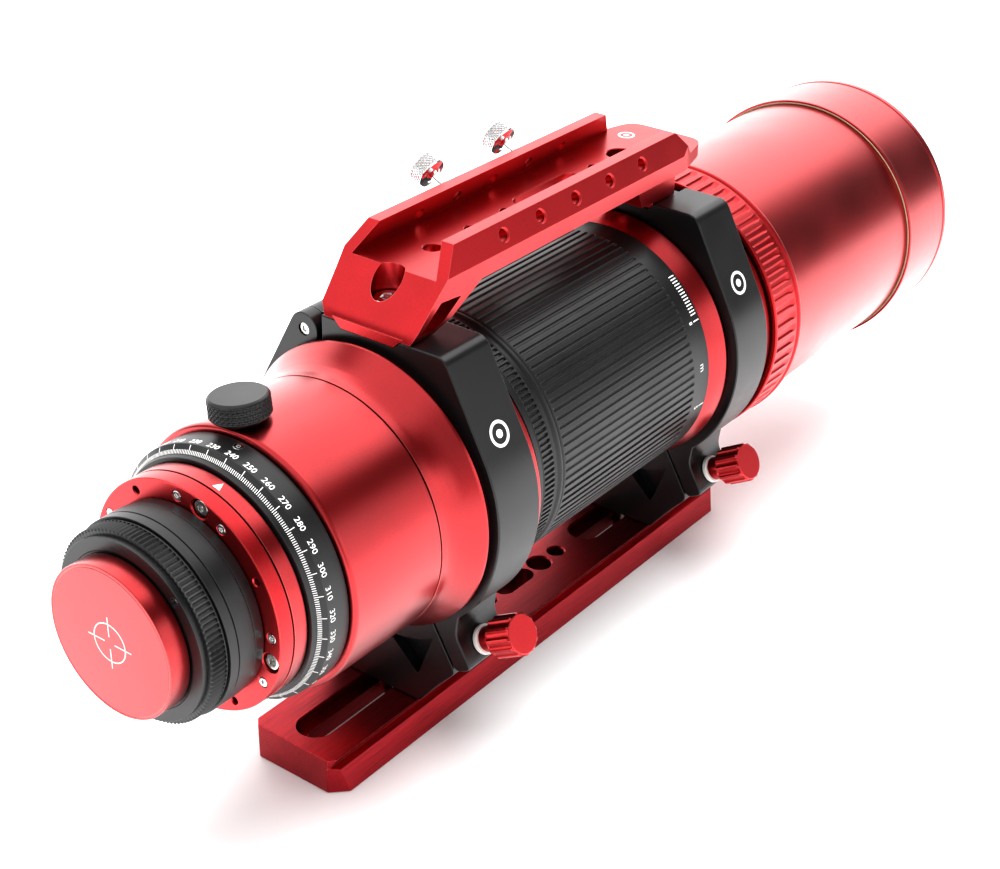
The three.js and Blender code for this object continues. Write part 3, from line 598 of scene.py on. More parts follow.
def tilt_plate():
    """The plate with its three kinds of holes, and the screws in them."""
    plate = turned("tilt_plate_visual", [
        (27.8, TILT_REAR), (40.4, TILT_REAR, 0.7), (40.4, 37.1, 0.3), (27.8, 37.1)])
    tools = []
    for degrees in TILT_GROUPS:
        tools.append(drill(tilt_point(degrees, TILT_REAR), ALONG, [
            (0, -OVERRUN), (3.7, -OVERRUN), (3.7, 0), (3.3, 0.4), (3.3, 3.2), (1.95, 3.2), (1.95, 7), (0, 7)]))
        tools.append(drill(tilt_point(degrees + 45, TILT_REAR), ALONG, [
            (0, -OVERRUN), (1.7, -OVERRUN), (1.7, 0), (1.3, 0.35), (1.3, 4.2), (0, 4.8)]))
        for side in (-TILT_SPREAD, TILT_SPREAD):
            tools.append(drill(tilt_point(degrees + side, TILT_REAR), ALONG, [
                (0, -OVERRUN), (2.1, -OVERRUN), (2.1, 0), (1.75, 0.3), (1.75, 7), (0, 7)]))
    cut(plate, *tools)
    dress(plate, "tilt", "red", "tilt_plate")
    for i, degrees in enumerate(TILT_GROUPS):
        screw(f"pull_screw_{i + 1}_visual", tilt_point(degrees, 34.25), -ALONG, shank=1.5, length=7.3,
              head=2.75, height=2.2, socket=1.3, depth=1.3, body="rotator", node=f"pull_screw_{i + 1}")
        for k, side in enumerate((-TILT_SPREAD, TILT_SPREAD)):
            number = 2 * i + k + 1
            screw(f"push_screw_{number}_visual", tilt_point(degrees + side, 32.6), -ALONG, shank=1.6,
                  length=4.5, head=1.65, height=1.3, socket=0.85, depth=1.0, body="tilt",
                  node=f"push_screw_{number}", material="chrome")


def rotator():
    ring = turned("rotator_ring_visual", [
        (27.8, 37.6), (40.5, 37.6, 0.3), (40.5, 43.2), (38.5, 43.5), (38.5, 62.2), (37.3, 63.4), (37.3, 66.6),
        (38.5, 67.8), (38.5, 72), (35.5, 72), (35.5, 46), (27.8, 46),
    ])
    dress(ring, "rotator", "red_turned", "rotator_ring")
    mesh = bmesh.new()
    mark_solid(mesh, [(-1.5, 0), (1.5, 0), (0, 3.2)], tube_skin(40.5, 76.5, 38.8))
    dress(made("rotator_pointer", mesh), "rotator", "paint")


SCALE_START = 45.4      # rear and front edge of the bevel that carries the ticks
SCALE_EDGE = 47.8
SCALE_SMALL = 42.2      # radius of each
SCALE_LARGE = 45
SCALE_SCREW_ANGLE = 85
SCALE_ZERO = 322.6      # angle round the tube of the scale's 0


def scale_ring():
    """The angle scale: a tick for each degree on the bevel, a longer one and a number at each 10."""
    ring = turned("angle_scale_visual", [
        (39.1, 43.8), (41.8, 43.8, 0.2), (SCALE_SMALL, SCALE_START, 0.2), (SCALE_LARGE, SCALE_EDGE, 0.25),
        (SCALE_LARGE, 57.2, 0.3), (41.6, 57.2), (41.6, 44.5), (39.1, 44.5)])
    seat = Vector((0, REAR + 54.5, AXIS))
    out = across(SCALE_SCREW_ANGLE)
    cut(ring, drill(seat, out, [(0, 41), (1.75, 41), (1.75, 44.8), (2.0, 45.2), (2.0, 47), (0, 47)]))
    dress(ring, "base", "black", "angle_scale_ring")
    screw("scale_set_screw_visual", seat + out * 43.8, out, shank=1.45, length=1.6, head=1.65, height=1.3,
          socket=0.8, depth=0.8, body="base", node="scale_set_screw", material="chrome")
    slope = (SCALE_LARGE - SCALE_SMALL) / (SCALE_EDGE - SCALE_START)
    mesh = bmesh.new()
    for degree in range(360):
        length = 1.05 if degree % 10 else 2.15
        angle = SCALE_ZERO - degree
        mark_solid(mesh, bar(0.26, 0.15, length), tube_skin(SCALE_SMALL, angle, SCALE_START, slope))
        if degree % 10 == 0:
            lettering(mesh, str(degree), 3.2, tube_skin(SCALE_LARGE, angle, SCALE_EDGE + 0.9))
    dress(made("angle_scale_marks", mesh), "base", "paint")


def crossed(grooves, lean, depth):
    """A diamond knurl: two sets of grooves wound opposite ways, with a lean in pitches for each millimetre."""
    def cut_in(angle, height):
        turns = angle * grooves / (2 * math.pi)
        valley = min(abs((turns + height * lean) % 1 - 0.5), abs((turns - height * lean) % 1 - 0.5))
        return depth * max(0.0, 1 - valley / 0.26)
    return cut_in


def levels_between(radius, low, high, count):
    """Points of a profile's straight side, close enough together for a knurl."""
    return [(radius, low + (high - low) * k / count, 0) for k in range(count + 1)]


LOCK_ANGLE = 95.9


def lock_knob():
    """Builds the knob, and gives the point of the axis that it turns over."""
    grooves = 34
    low, high = 49.3, 54.9
    profile = [(0, 37.8), (1.2, 37.8), (2.9, 39.2), (2.9, 47.9), (8.9, 47.9), (9.3, 48.3), (10.0, 49.0)]
    profile += levels_between(10.2, low, high, 24)
    profile += [(9.9, 55.4), (9.2, 56.0), (0, 56.0)]
    seat = Vector((0, REAR + 65, AXIS))
    knob = turned("lock_knob_visual", profile, about(seat, across(LOCK_ANGLE)), grooves * 8,
                  zone(low + 0.01, high - 0.01, crossed(grooves, 0.62, 0.42)), 0.2)
    dress(knob, "lock", "black", "lock_knob")
    return seat


# ---- Fixed tube ----

def fixed_tube(lock_seat):
    tube = turned("rear_tube_visual", [
        (38.9, 44.8), (41.3, 44.8), (41.3, 57.6), (45.9, 57.6), (46.8, 58.0), (47.2, 59.0),
        (47.2, 99.6, 0.3), (44.3, 99.6), (44.3, 92), (43, 92), (43, 74), (38.9, 74),
    ])
    cut(tube, drill(lock_seat, across(LOCK_ANGLE), [
        (0, 30), (3.4, 30), (3.4, 46.6), (3.9, 47.3), (3.9, 60), (0, 60)]))
    dress(tube, "base", "red_turned", "rear_tube")
    barrel = turned("main_barrel_visual", [
        (42.6, 92.3), (44, 92.3), (44, 100.2), (47.2, 100.2, 0.3), (47.4, 104.4, 3), (49.4, 109.4, 2.5),
        (53.2, 115.9, 0.5), (53.4, 116.8, 0.3), (50.4, 118.5), (50.4, 143.1), (53, 143.1), (53, 146),
        (45.6, 146), (45.6, 262), (42.6, 262),
    ])
    dress(barrel, "base", "red_turned", "main_barrel")
    front = turned("front_tube_visual", [
        (46, 258.8), (48.4, 258.8, 0.4), (50.6, 263.2, 3), (51.9, 267.3, 0.4), (50.4, 268.7), (50.4, 293.2),
        (53.2, 293.2), (53.2, 297.6), (50.3, 297.6), (50.3, 372), (47.9, 372), (47.9, 263.2), (46, 263.2),
    ])
    dress(front, "base", "red_turned", "front_tube")


# ---- Focuser ----

RIBS = 96
GEAR_TEETH = 144
FOCUS_RADIUS = 49.6


def focuser():
    gear = turned("focus_gear_visual", [
        (46, 150.6), (49.0, 150.6, 0.3), (49.0, 152.8, 0.1), (49.3, 153.2, 0), (49.3, 153.6, 0),
        (49.3, 158.6, 0), (49.3, 158.9, 0), (48.9, 159.7), (46, 159.7),
    ], steps=GEAR_TEETH * 6, relief=zone(153.3, 158.8, teeth(GEAR_TEETH, 0.17, 0.8, 0.33)))
    dress(gear, "focus", "black", "focus_drive_gear")
    ring = turned("focus_ring_visual", [
        (46, 160), (48.6, 160, 0.3), (48.6, 161.6, 0.4), (FOCUS_RADIUS, 162.3, 0.4), (49.7, 163.3, 0.3),
        (48.9, 163.9, 0.2), (49.5, 164.5, 0.1), (FOCUS_RADIUS, 165.0, 0), (FOCUS_RADIUS, 165.8, 0),
        (FOCUS_RADIUS, 247.2, 0), (FOCUS_RADIUS, 248.0, 0), (FOCUS_RADIUS, 258.3, 0.4), (46, 258.3),
    ], steps=RIBS * 8, relief=zone(165.2, 247.8, teeth(RIBS, 0.125, 0.75, 0.22)))
    dress(ring, "focus", "black", "focus_ring")
    mesh = bmesh.new()
    for k in range(14):
        mark_solid(mesh, bar(0.45, 0, 3.2), tube_skin(FOCUS_RADIUS, 50 - k * 1.46, 253.8))
    for degrees in (28, -12.7):
        mark_solid(mesh, bar(0.45, 0, 3.3), tube_skin(FOCUS_RADIUS, degrees, 254))
    for text, degrees, size, feet in (("8", 28, 2.6, 251.2), ("m", 6.9, 4.4, 252.2), ("5", -12.7, 3.4, 250.9)):
        lettering(mesh, text, size, tube_skin(FOCUS_RADIUS, degrees, feet))
    dress(made("focus_scale_marks", mesh), "focus", "paint")


# ---- Dew shield and cap ----

GRIP_SLOTS = 66


def dew_shield():
    shield = turned("dew_shield_visual", [
        (51.4, 299), (53.8, 299, 0.3), (53.8, 440, 0.5), (51.4, 440)])
    dress(shield, "dew_shield", "red_turned", "dew_shield")
    grip = turned("dew_grip_visual", [
        (54.1, 298.4), (55.3, 298.4, 0.3), (55.7, 298.9, 0.2), (55.7, 299.5, 0), (55.7, 300.1, 0),
        (55.8, 310.4, 0), (55.8, 312.4, 0), (55.8, 314.4, 0.2), (55.3, 314.8, 0.2), (56.3, 315.5, 0.5),
        (56.3, 317.1, 0.5), (55.6, 317.8, 0.3), (54.1, 317.8),
    ], steps=GRIP_SLOTS * 12, relief=zone(299.6, 312.3, teeth(GRIP_SLOTS, 0.08, 0.85, 0.46)))
    dress(grip, "dew_shield", "red", "dew_grip_ring")


def front_cap():
    cap = turned("front_cap_visual", [
        (0, 445.6), (54.6, 445.6), (54.6, 413.8, 0.2), (55.5, 413.8, 0.35), (55.6, 415.2, 0.3),
        (55.2, 415.6, 0.2), (55.5, 445.0, 0.2), (55.2, 445.4, 0.2), (55.7, 446.0, 0.3), (55.7, 448.7, 0.9),
        (51, 448.7, 0.3), (50.4, 447.9, 0.3), (0, 447.9),
    ])
    dress(cap, "front_cap", "red_turned", "front_cap")
    lining = turned("front_cap_felt_visual", [
        (53.85, 414.1), (54.55, 413.7), (54.55, 426), (53.9, 426)], ease=0.2)
    dress(lining, "front_cap", "felt", "front_cap_felt")


# ---- Tube rings ----

RING_WIDTH = 22.4
RING_RADIUS = 55.5
RING_BORE = 50.8
RING_TOP = 57.9
FLANK_ANGLE = 27.3
HINGE_DISTANCE = 57.6
HINGE_RADIUS = 6.2
TONGUE = 11.2
KEY_DEPTH = 2.6         # of the groove across the flat that the saddle bar's keys drop into
KEY_HALF_WIDTH = 11.5
PARTING_ANGLE = -60.3
STUD_DISTANCE = 67.2
TOP_END = -20.4
GAP = 0.3               # between neighbours that don't move against each other
MARK_HEIGHT = 5.8       # of the mark's centre above the middle of the ring's flank

parting_line = across(PARTING_ANGLE)
clamp_axis = across(PARTING_ANGLE + 90)
hinge_x = -HINGE_DISTANCE * parting_line.x
hinge_z = -HINGE_DISTANCE * parting_line.z


def ring_point(along, towards, ease=None):
    """An (x, z) point from its distances along the parting line and towards the knob."""
    point = parting_line * along + clamp_axis * towards
    return (point.x, point.z) if ease is None else (point.x, point.z, ease)


def shoulder():
    """Where the flank meets the flat top of the ring."""
    normal = across(FLANK_ANGLE)
    return ((RING_RADIUS - normal.z * RING_TOP) / normal.x, RING_TOP, 3.2)


def key_outline(room, bottom, top):
    """The groove across the ring's top, or with no room beside it the key that drops into it."""
    half = KEY_HALF_WIDTH + room
    return mirrored([(half, bottom), (half + top - bottom, top)])


def ring_top_outline():
    start_angle = math.degrees(math.acos(TOP_END / RING_BORE))
    slit = math.degrees(GAP / RING_BORE)
    bore = arc(RING_BORE, start_angle, PARTING_ANGLE + slit, 90)
    ear = [ring_point(73.6, GAP, 2.4), ring_point(74.2, 8, 2.6), ring_point(60, 8, 2.5)]
    outside = arc(RING_RADIUS, PARTING_ANGLE + 13.3, FLANK_ANGLE, 48)
    return eased(bore + ear + outside + [shoulder(), (TOP_END, RING_TOP, 0.8)])


def ring_base_outline():
    slit = math.degrees(GAP / RING_BORE)
    bore = arc(RING_BORE, PARTING_ANGLE - slit, PARTING_ANGLE - 180 + slit, 100)
    lobe = arc(HINGE_RADIUS, PARTING_ANGLE, 180 - FLANK_ANGLE, 24, (hinge_x, hinge_z))
    outside = arc(RING_RADIUS, 180 - FLANK_ANGLE, 217.7, 40)
    foot_bottom = PLATE_TOP + GAP - AXIS
    foot = [(-20, foot_bottom, 1), (20, foot_bottom, 1), ring_point(78, -12, 3), ring_point(74.4, -GAP, 2.4)]
    return eased(bore + lobe + outside + foot)


def foot_pocket(side):
    corners = [(6.2, -59.6), (19.5, -72.3), (27, -53.4), (20.5, -56.6), (13.5, -58.8)]
    corners = [(side * x, z, 1.2) for x, z in corners]
    return eased(corners)


def tube_ring(end):
    middle = RINGS[end]
    low, high = middle - RING_WIDTH / 2, middle + RING_WIDTH / 2
    centre = Vector((0, REAR + middle, AXIS))
    hinge = centre + Vector((hinge_x, 0, hinge_z))
    stud = centre + parting_line * STUD_DISTANCE

    top = drawn(f"{end}_ring_top_visual", ring_top_outline(), ring_plane, low, high)
    round_edges(top, 0.7, degrees=50)
    tongue_outline = eased(arc(HINGE_RADIUS, 60, 300, 24, (hinge_x, hinge_z)) + [
        (-25.5, 44.9, 0), (TOP_END + 1.5, 46.2, 0), (TOP_END + 1.5, 56.6, 0)])
    tongue = drawn("tongue", tongue_outline, ring_plane, middle - TONGUE / 2, middle + TONGUE / 2)
    cut(top, tongue, operation="UNION")
    cut(top,
        drill(hinge, ALONG, [(0, -20), (2.4, -20), (2.4, 20), (0, 20)]),
        drill(stud, clamp_axis, [(0, -5), (2.9, -5), (2.9, 20), (0, 20)]))
    groove = key_outline(0.2, RING_TOP - KEY_DEPTH, RING_TOP + OVERRUN)
    cut(top, drawn("groove", groove, ring_plane, low - OVERRUN, high + OVERRUN))
    dress(top, "ring_tops", "ring_black", f"{end}_ring_top")

    base = drawn(f"{end}_ring_base_visual", ring_base_outline(), ring_plane, low, high)
    round_edges(base, 0.7, degrees=50)
    fork = TONGUE / 2 + GAP
    pockets = [drawn("pocket", foot_pocket(side), ring_plane, *span)
               for side in (1, -1) for span in ((low - 1, low + 5), (high - 5, high + 1))]
    cut(base, *pockets)
    cut(base, drill(hinge, ALONG, [(0, -fork), (6.7, -fork), (6.7, fork), (0, fork)]))
    cut(base,
        drill(hinge, ALONG, [(0, -20), (2.4, -20), (2.4, 20), (0, 20)]),
        drill(stud, clamp_axis, [(0, -16), (3.3, -16), (3.3, 5), (0, 5)]))
    dress(base, "base", "ring_black", f"{end}_ring_base")

    pin_end = RING_WIDTH / 2 - 0.5
    screw(f"{end}_hinge_pin_visual", hinge - ALONG * (pin_end - 1), -ALONG, shank=2.25, length=2 * pin_end - 1,
          head=2.25, height=1, socket=1.2, depth=0.5, body="base", node=f"{end}_hinge_pin")
    clamp(end, stud)

    mesh = bmesh.new()
    up = across(FLANK_ANGLE + 90)
    flank = centre + across(FLANK_ANGLE) * RING_RADIUS + up * MARK_HEIGHT
    skin = flat_skin(flank, ALONG, up, across(FLANK_ANGLE))
    annulus(mesh, 3.5, 4.6, skin)
    annulus(mesh, 0.01, 1.5, skin, 32)
    dress(made(f"{end}_ring_mark", mesh), "ring_tops", "paint")


def clamp(end, stud):
    """Washer, fluted knob and stud, all on the clamp's axis."""
    line = about(stud, clamp_axis)
    washer = turned(f"{end}_clamp_washer_visual", [
        (2.8, 8.3), (5.5, 8.3), (5.5, 10), (2.8, 10)], line, 64)
    dress(washer, "ring_tops", "nylon", f"{end}_clamp_washer")
    flutes = 12

    def scallop(angle, _height):
        share = abs((angle * flutes / (2 * math.pi)) % 1 - 0.5) / 0.36
        return 0.85 * math.sqrt(max(0.0, 1 - share * share))

    knob = turned(f"{end}_clamp_knob_visual", [
        (0, 24.6), (2.7, 24.6), (2.7, 10.3), (4.7, 10.3), (4.7, 15.4, 0.6), (6.8, 16.2, 0.2), (7.6, 16.7, 0),
        (7.7, 17.0, 0), (7.7, 26.9, 0), (7.7, 27.2, 0), (6.95, 27.8, 0.1), (6.8, 28, 0.1), (0, 28),
    ], line, flutes * 16, zone(16.5, 27.3, scallop))
    dress(knob, f"{end}_clamp", "red", f"{end}_clamp_knob")
    rod = turned(f"{end}_clamp_stud_visual", [
        (0, -9), (2.5, -9), (2.5, 24.3), (0, 24.3)], line, 32)
    dress(rod, f"{end}_clamp", "steel", f"{end}_clamp_stud")


# ---- Saddle bar ----

SADDLE_BOTTOM = RING_TOP + GAP
SADDLE_FLOOR = 76.1
SADDLE_UNDER = 71.0
SADDLE_TOP = 86.0
RAIL_OUTER = 18.3
RAIL_INNER = 13.3
RAIL_WIDEST = (22.4, 77.4)
RAIL_HOLES = (166.9, 187.7, 208.5, 229.3, 250.1)
SADDLE_END = 298.0
REAR_LEG = (119.3, 131.5)
FRONT_LEG = (263.0, 285.0)
FRONT_KEY = (270.0, 285.0)      # the part of the front leg that stands in its ring's groove
LEG_HALF_WIDTH = 13
WINDOW_FLOOR = 12.5             # how far the pockets in the sides stop from the middle
SCREW_SEAT = 62.4
FRONT_COUNTERBORE = 266.3
FRONT_COUNTERBORE_SEAT = 66.0
FLOOR_HOLES = (175, 195.2, 248.9)


def rail_face(side, distance):
    """Centre of a rail hole and the face's outward normal."""
    centre = Vector((side * (RAIL_WIDEST[0] + RAIL_OUTER) / 2, REAR + distance,
                     AXIS + (RAIL_WIDEST[1] + SADDLE_TOP) / 2))
    normal = Vector((side * (SADDLE_TOP - RAIL_WIDEST[1]), 0, RAIL_WIDEST[0] - RAIL_OUTER)).normalized()
    return centre, normal


def saddle_body():
    section = mirrored([(18.6, SADDLE_BOTTOM), (20.8, 62.5), (21.6, SADDLE_UNDER), RAIL_WIDEST,
                        (RAIL_OUTER, SADDLE_TOP)])
    bar_body = drawn("saddle_bar_visual", section, ring_plane, 0, SADDLE_END + OVERRUN)
    side = [
        (REAR_LEG[0], SADDLE_BOTTOM), (REAR_LEG[1], SADDLE_BOTTOM), (153.5, SADDLE_UNDER),
        (FRONT_LEG[0] - 5.7, SADDLE_UNDER), (FRONT_LEG[0], SADDLE_BOTTOM), (FRONT_LEG[1], SADDLE_BOTTOM),
        (FRONT_LEG[1], SADDLE_UNDER),
        (SADDLE_END, SADDLE_UNDER), (SADDLE_END, SADDLE_FLOOR), (283.6, SADDLE_FLOOR), (275, SADDLE_TOP),
        (142.5, SADDLE_TOP), (120.9, 62.5),
    ]
    cut(bar_body, drawn("side", side, side_plane, -FAR, FAR), operation="INTERSECT")
    half = [(30, 0, 0), (30, SADDLE_END - 49.6, 0), (16.1, SADDLE_END, 6)]
    plan = eased(mirrored(half), steps=8)
    cut(bar_body, drawn("plan", plan, floor_plan, 0, FAR), operation="INTERSECT")
    key = key_outline(0, SADDLE_BOTTOM - KEY_DEPTH, SADDLE_BOTTOM + OVERRUN)
    keys = [drawn("key", key, ring_plane, *leg) for leg in (REAR_LEG, FRONT_KEY)]
    cut(bar_body, *keys, operation="UNION")
    above = SADDLE_TOP + OVERRUN
    channel = mirrored([(18.2, SADDLE_FLOOR), (RAIL_INNER, SADDLE_TOP), (RAIL_INNER, above)])
    beside = [(255, 0), (295, 0), (295, SADDLE_UNDER), (255, SADDLE_UNDER)]
    window = eased([(121.6, 60.5, 0.8), (130.9, 60.0, 0.8), (142.8, 68.7, 0.8), (132.1, 69.8, 0.8)])
    cut(bar_body, drawn("channel", channel, ring_plane, 0, SADDLE_END + OVERRUN))
    cut(bar_body, drawn("beside", beside, side_plane, LEG_HALF_WIDTH, FAR),
        drawn("beside", beside, side_plane, -FAR, -LEG_HALF_WIDTH))
    round_edges(bar_body, 0.35, 2)
    cut(bar_body, drawn("window", window, side_plane, WINDOW_FLOOR, FAR),
        drawn("window", window, side_plane, -FAR, -WINDOW_FLOOR))
    return bar_body


def saddle_bar():
    piece = saddle_body()
    above = SADDLE_TOP + OVERRUN
    rim = SADDLE_FLOOR

    def upright(distance, steps):
        return drill(Vector((0, REAR + distance, AXIS)), UP, steps)

    tools = [
        upright(RINGS["rear"], [
            (0, 50), (3.3, 50), (3.3, SCREW_SEAT), (5.8, SCREW_SEAT), (5.8, above), (0, above)]),
        upright(FRONT_COUNTERBORE, [
            (0, 50), (2.4, 50), (2.4, FRONT_COUNTERBORE_SEAT), (5.6, FRONT_COUNTERBORE_SEAT),
            (5.6, rim - 0.3), (5.9, rim), (5.9, above), (0, above)]),
        upright(153.9, [(0, 50), (3.4, 50), (3.4, rim - 0.3), (3.7, rim), (3.7, above), (0, above)]),
        slot_tool([(50, 5, 202, 239.5), (rim - 0.3, 5, 202, 239.5), (rim, 5.3, 201.7, 239.8),
                   (above, 5.3, 201.7, 239.8)]),
    ]
    for distance in FLOOR_HOLES:
        tools.append(upright(distance, [
            (0, 50), (2.6, 50), (2.6, rim - 0.2), (2.8, rim), (2.8, above), (0, above)]))
    for side in (1, -1):
        for distance in RAIL_HOLES:
            centre, normal = rail_face(side, distance)
            tools.append(drill(centre, normal, [
                (0, -9), (2.2, -9), (2.2, -0.5), (2.7, 0), (2.7, 4), (0, 4)]))
    cut(piece, *tools)
    dress(piece, "ring_tops", "red", "saddle_bar")
    mesh = bmesh.new()
    skin = flat_skin(Vector((-9.5, REAR + 284, AXIS + SADDLE_FLOOR)), ALONG, Vector((-1, 0, 0)), UP)
    annulus(mesh, 2.5, 3.3, skin)
    annulus(mesh, 0.01, 1.1, skin, 32)
    dress(made("saddle_mark", mesh), "ring_tops", "paint")
    seat = Vector((0, REAR + RINGS["rear"], AXIS + SCREW_SEAT + GAP))
    screw("rear_saddle_screw_visual", seat, UP, shank=3, length=9.8, head=5, height=3.8, socket=2.9, depth=2.2,
          body="ring_tops", node="rear_saddle_screw", material="chrome")


def thumbscrew(end, distance):
    centre, normal = rail_face(-1, distance)
    grooves = 26
    profile = [(0, -4), (1.4, -4), (2, -3.4), (2, 6.6, 0.3), (3.2, 7.6, 0.3), (5.6, 7.9, 0.2),
               (6, 8.4, 0)]
    profile += levels_between(6, 8.6, 13.3, 20)
    profile += [(5.6, 13.9, 0.2), (4.4, 14.2, 0.2), (0, 14.4)]
    piece = turned(f"{end}_thumbscrew_visual", profile, about(centre, normal), grooves * 8,
                   zone(8.7, 13.2, crossed(grooves, 0.7, 0.5)))
    dress(piece, f"{end}_thumb", "chrome", f"{end}_thumbscrew")


# ---- Dovetail plate ----

def dovetail_plate():
    rear, front = (end - REAR for end in PLATE_ENDS)
    bottom = -AXIS
    top = PLATE_TOP - AXIS
    section = mirrored([(22, bottom), (19.5, bottom + 9.9), (16.8, bottom + 10.7), (19.1, top)])
    plate = drawn("dovetail_plate_visual", section, ring_plane, rear, front)
    plan = mirrored([(22 - 5.8, rear), (22.5, rear + 6.3), (22.5, front - 6.3), (22 - 5.8, front)])
    cut(plate, drawn("plan", plan, floor_plan, -FAR, FAR), operation="INTERSECT")
    round_edges(plate, 0.45, 2)

    def hole(distance, radius):
        origin = Vector((0, REAR + distance, 0))
        above = PLATE_TOP + OVERRUN
        return drill(origin, UP, [
            (0, -OVERRUN), (radius, -OVERRUN), (radius, PLATE_TOP - 0.5), (radius + 0.5, PLATE_TOP),
            (radius + 0.5, above), (0, above)])

    tools = [hole(186, 3.2), hole(219.1, 4.9), hole(230.4, 3.4),
             slot_tool([(bottom - 1, 4.5, 191.5, 212.5), (top + 1, 4.5, 191.5, 212.5)])]
    for start_at, end_at in ((79.4, 151.4), (244, 316)):
        tools.append(slot_tool([
            (bottom - 1, 5.8, start_at + 1.2, end_at - 1.2), (bottom + 5, 5.8, start_at + 1.2, end_at - 1.2),
            (bottom + 5.01, 3.4, start_at + 3.6, end_at - 3.6), (top - 5.01, 3.4, start_at + 3.6, end_at - 3.6),
            (top - 5, 7, start_at, end_at), (top - 0.3, 7, start_at, end_at),
            (top, 7.3, start_at - 0.3, end_at + 0.3), (top + 1, 7.3, start_at - 0.3, end_at + 0.3)]))
    cut(plate, *tools)
    dress(plate, "base", "brushed", "dovetail_plate")
    for end, middle in RINGS.items():
        screw(f"{end}_plate_screw_visual", Vector((0, REAR + middle, 4.7)), -UP, shank=3, length=18, head=5,
              height=4, socket=2.9, depth=2.4, body="base", node=f"{end}_plate_screw")


# ---- Hidden pieces, which keep their CAD shape ----

def keep_nodes():
    by_slot = {"black_anodised": "black", "steel": "steel", "glass": "glass", "felt": "felt"}
    slots = {part["node"]: part["material_slot"] for part in frame["record"]["subparts"]}
    for name, node in frame["nodes"].items():
        if not node.hide_render:
            node.data.materials.clear()
            node.data.materials.append(MATERIALS[by_slot[slots[name]]])


# ---- Stage ----

def ramp(tree, value, start_at, end_at):
    """Rises smoothly from 0 at start_at to 1 at end_at, or falls if end_at is the lower."""
    low, high = sorted((start_at, end_at))
    first, last = (0, 1) if start_at < end_at else (1, 0)
    values = {"Value": value, "From Min": low, "From Max": high, "To Min": first, "To Max": last}
    return add(tree, "ShaderNodeMapRange", values, interpolation_type="SMOOTHSTEP").outputs["Result"]


def product(tree, first, *rest):
    for value in rest:
        node = add(tree, "ShaderNodeMath", operation="MULTIPLY")
        for socket, item in zip(node.inputs, (first, value)):
            if isinstance(item, bpy.types.NodeSocket):
                tree.links.new(item, socket)
            else:
                socket.default_value = item
        first = node.outputs[0]
    return first


BACKDROP = 0.95         # brightness that the camera sees behind the object
DARKEST = 0.08          # and that of the studio between its softboxes

# Left edge, right edge, bottom, top, brightness and the edges' softness. Edges are degrees of azimuth from +Y
# towards +X, and so is the softness. Bottoms and tops are sines of the elevation.
SOFTBOXES = (
    (-95, 12, -0.5, 0.62, 2.0, 7),
    (-75, 32, 0.62, 0.84, 2.5, 7),
    (47, 100, -0.5, 0.42, 1.7, 3),
    (-190, -105, 0.3, 0.84, 1.4, 10),
    (105, 190, -0.5, 0.84, 0.5, 10),
    (-200, 200, 0.84, 1.2, 1.2, 12),
)


def softboxes(tree):
    """Brightness of the studio by direction."""
    x, y, z = add(tree, "ShaderNodeSeparateXYZ", {
        "Vector": add(tree, "ShaderNodeTexCoord").outputs["Generated"]}).outputs
    azimuth = add(tree, "ShaderNodeMath", {0: x, 1: y}, operation="ARCTAN2").outputs[0]
    total = DARKEST
    for left, right, bottom, top, brightness, soft in SOFTBOXES:
        edge = math.radians(soft)
        masks = (ramp(tree, azimuth, math.radians(left) - edge, math.radians(left) + edge),
                 ramp(tree, azimuth, math.radians(right) + edge, math.radians(right) - edge),
                 ramp(tree, z, bottom - 0.06, bottom + 0.06), ramp(tree, z, top + 0.1, top - 0.1), brightness)
        box = product(tree, *masks)
        total = add(tree, "ShaderNodeMath", {0: total, 1: box}, operation="ADD").outputs[0]
    return total


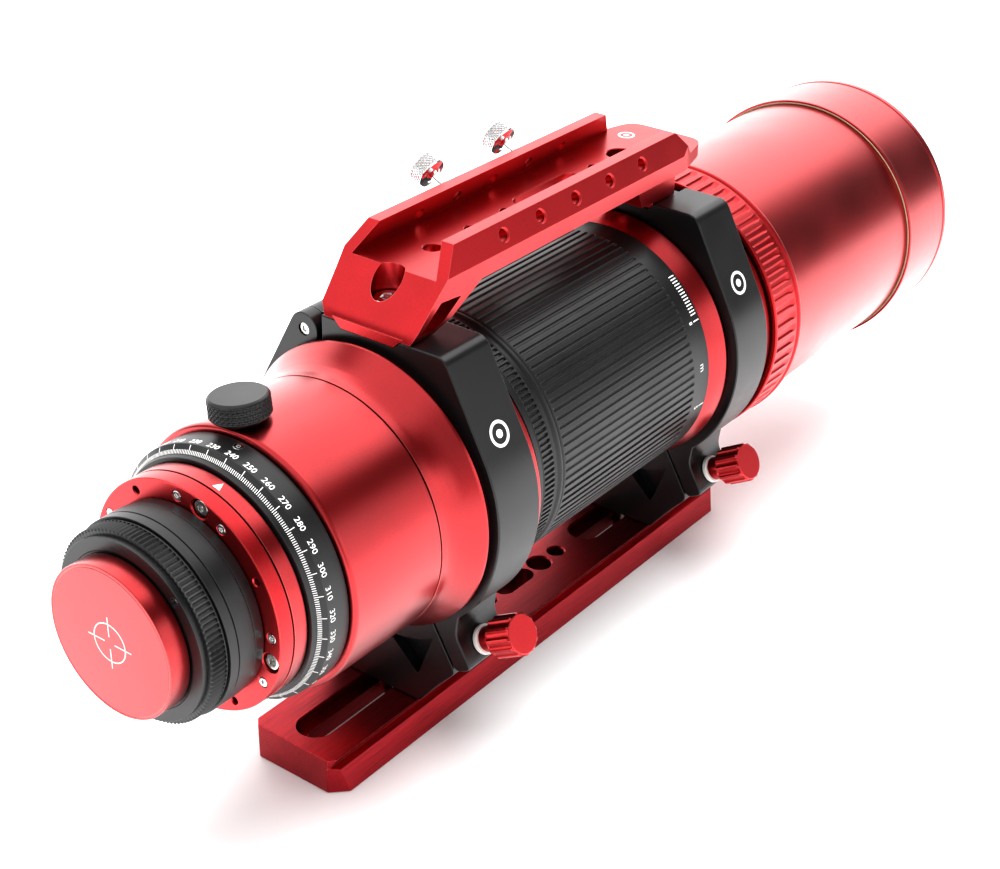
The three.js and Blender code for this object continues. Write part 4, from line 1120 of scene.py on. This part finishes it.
def studio():
    mesh = bmesh.new()
    half = 6000
    corners = [(-half, -half), (half, -half), (half, half), (-half, half)]
    mesh.faces.new([mesh.verts.new((x, y, -0.3)) for x, y in corners])
    floor = made("floor", mesh)
    material, tree = start("floor")
    grain = noise(tree, 60.0, 2.0)
    base = mixed(tree, spread(tree, grain, 0.0, 1.0), (0.86, 0.86, 0.86, 1), (0.84, 0.84, 0.845, 1))
    surface(tree, Base_Color=base, Roughness=0.6, Emission_Color=(1, 1, 1, 1), Emission_Strength=0.1)
    floor.data.materials.append(material)

    world = bpy.data.worlds.new("studio")
    world.use_nodes = True
    tree = world.node_tree
    tree.nodes.clear()
    seen = add(tree, "ShaderNodeLightPath").outputs["Is Camera Ray"]
    values = {0: seen, 2: softboxes(tree), 3: BACKDROP}
    strength = add(tree, "ShaderNodeMix", values, data_type="FLOAT").outputs[0]
    light = add(tree, "ShaderNodeBackground", {"Color": (1, 1, 1, 1), "Strength": strength})
    tree.links.new(light.outputs[0], add(tree, "ShaderNodeOutputWorld").inputs["Surface"])
    bpy.context.scene.world = world

    lamp_data = bpy.data.lights.new("overhead", "AREA")
    lamp_data.shape = "DISK"
    lamp_data.size = 3.0
    lamp_data.energy = 170
    lamp = bpy.data.objects.new("overhead", lamp_data)
    lamp.location = (0.0, 0.0, 3.0)
    lamp.visible_glossy = False
    bpy.context.scene.collection.objects.link(lamp)
    bpy.context.scene.view_settings.view_transform = "Standard"
    bpy.context.scene.view_settings.look = "Medium High Contrast"


CAMERA_PLACE = (370.92, -295.13, 331.38)    # from the centre of the rear cap's face
CAMERA_AZIMUTH = 37.27
CAMERA_ELEVATION = 29.36
CAMERA_ROLL = 0.49
CAMERA_LENS = 67.6


def camera():
    data = bpy.data.cameras.new("camera")
    data.sensor_width = 36
    data.lens = CAMERA_LENS
    data.clip_start = 0.01
    eye = bpy.data.objects.new("camera", data)
    a, e = math.radians(CAMERA_AZIMUTH), math.radians(CAMERA_ELEVATION)
    back = Vector((math.sin(a) * math.cos(e), -math.cos(a) * math.cos(e), math.sin(e)))
    turn = (-back).to_track_quat("-Z", "Y").to_matrix() @ Matrix.Rotation(math.radians(CAMERA_ROLL), 3, "Z")
    place = Vector((0, REAR, AXIS)) + Vector(CAMERA_PLACE)
    eye.matrix_world = Matrix.Translation(place * MM) @ turn.to_4x4()
    bpy.context.scene.collection.objects.link(eye)
    bpy.context.scene.camera = eye


rear_cap()
adapter()
tilt_plate()
rotator()
scale_ring()
fixed_tube(lock_knob())
focuser()
dew_shield()
front_cap()
for ring_end in RINGS:
    tube_ring(ring_end)
saddle_bar()
thumbscrew("rear", RAIL_HOLES[1])
thumbscrew("front", RAIL_HOLES[3])
dovetail_plate()
keep_nodes()
studio()
camera()
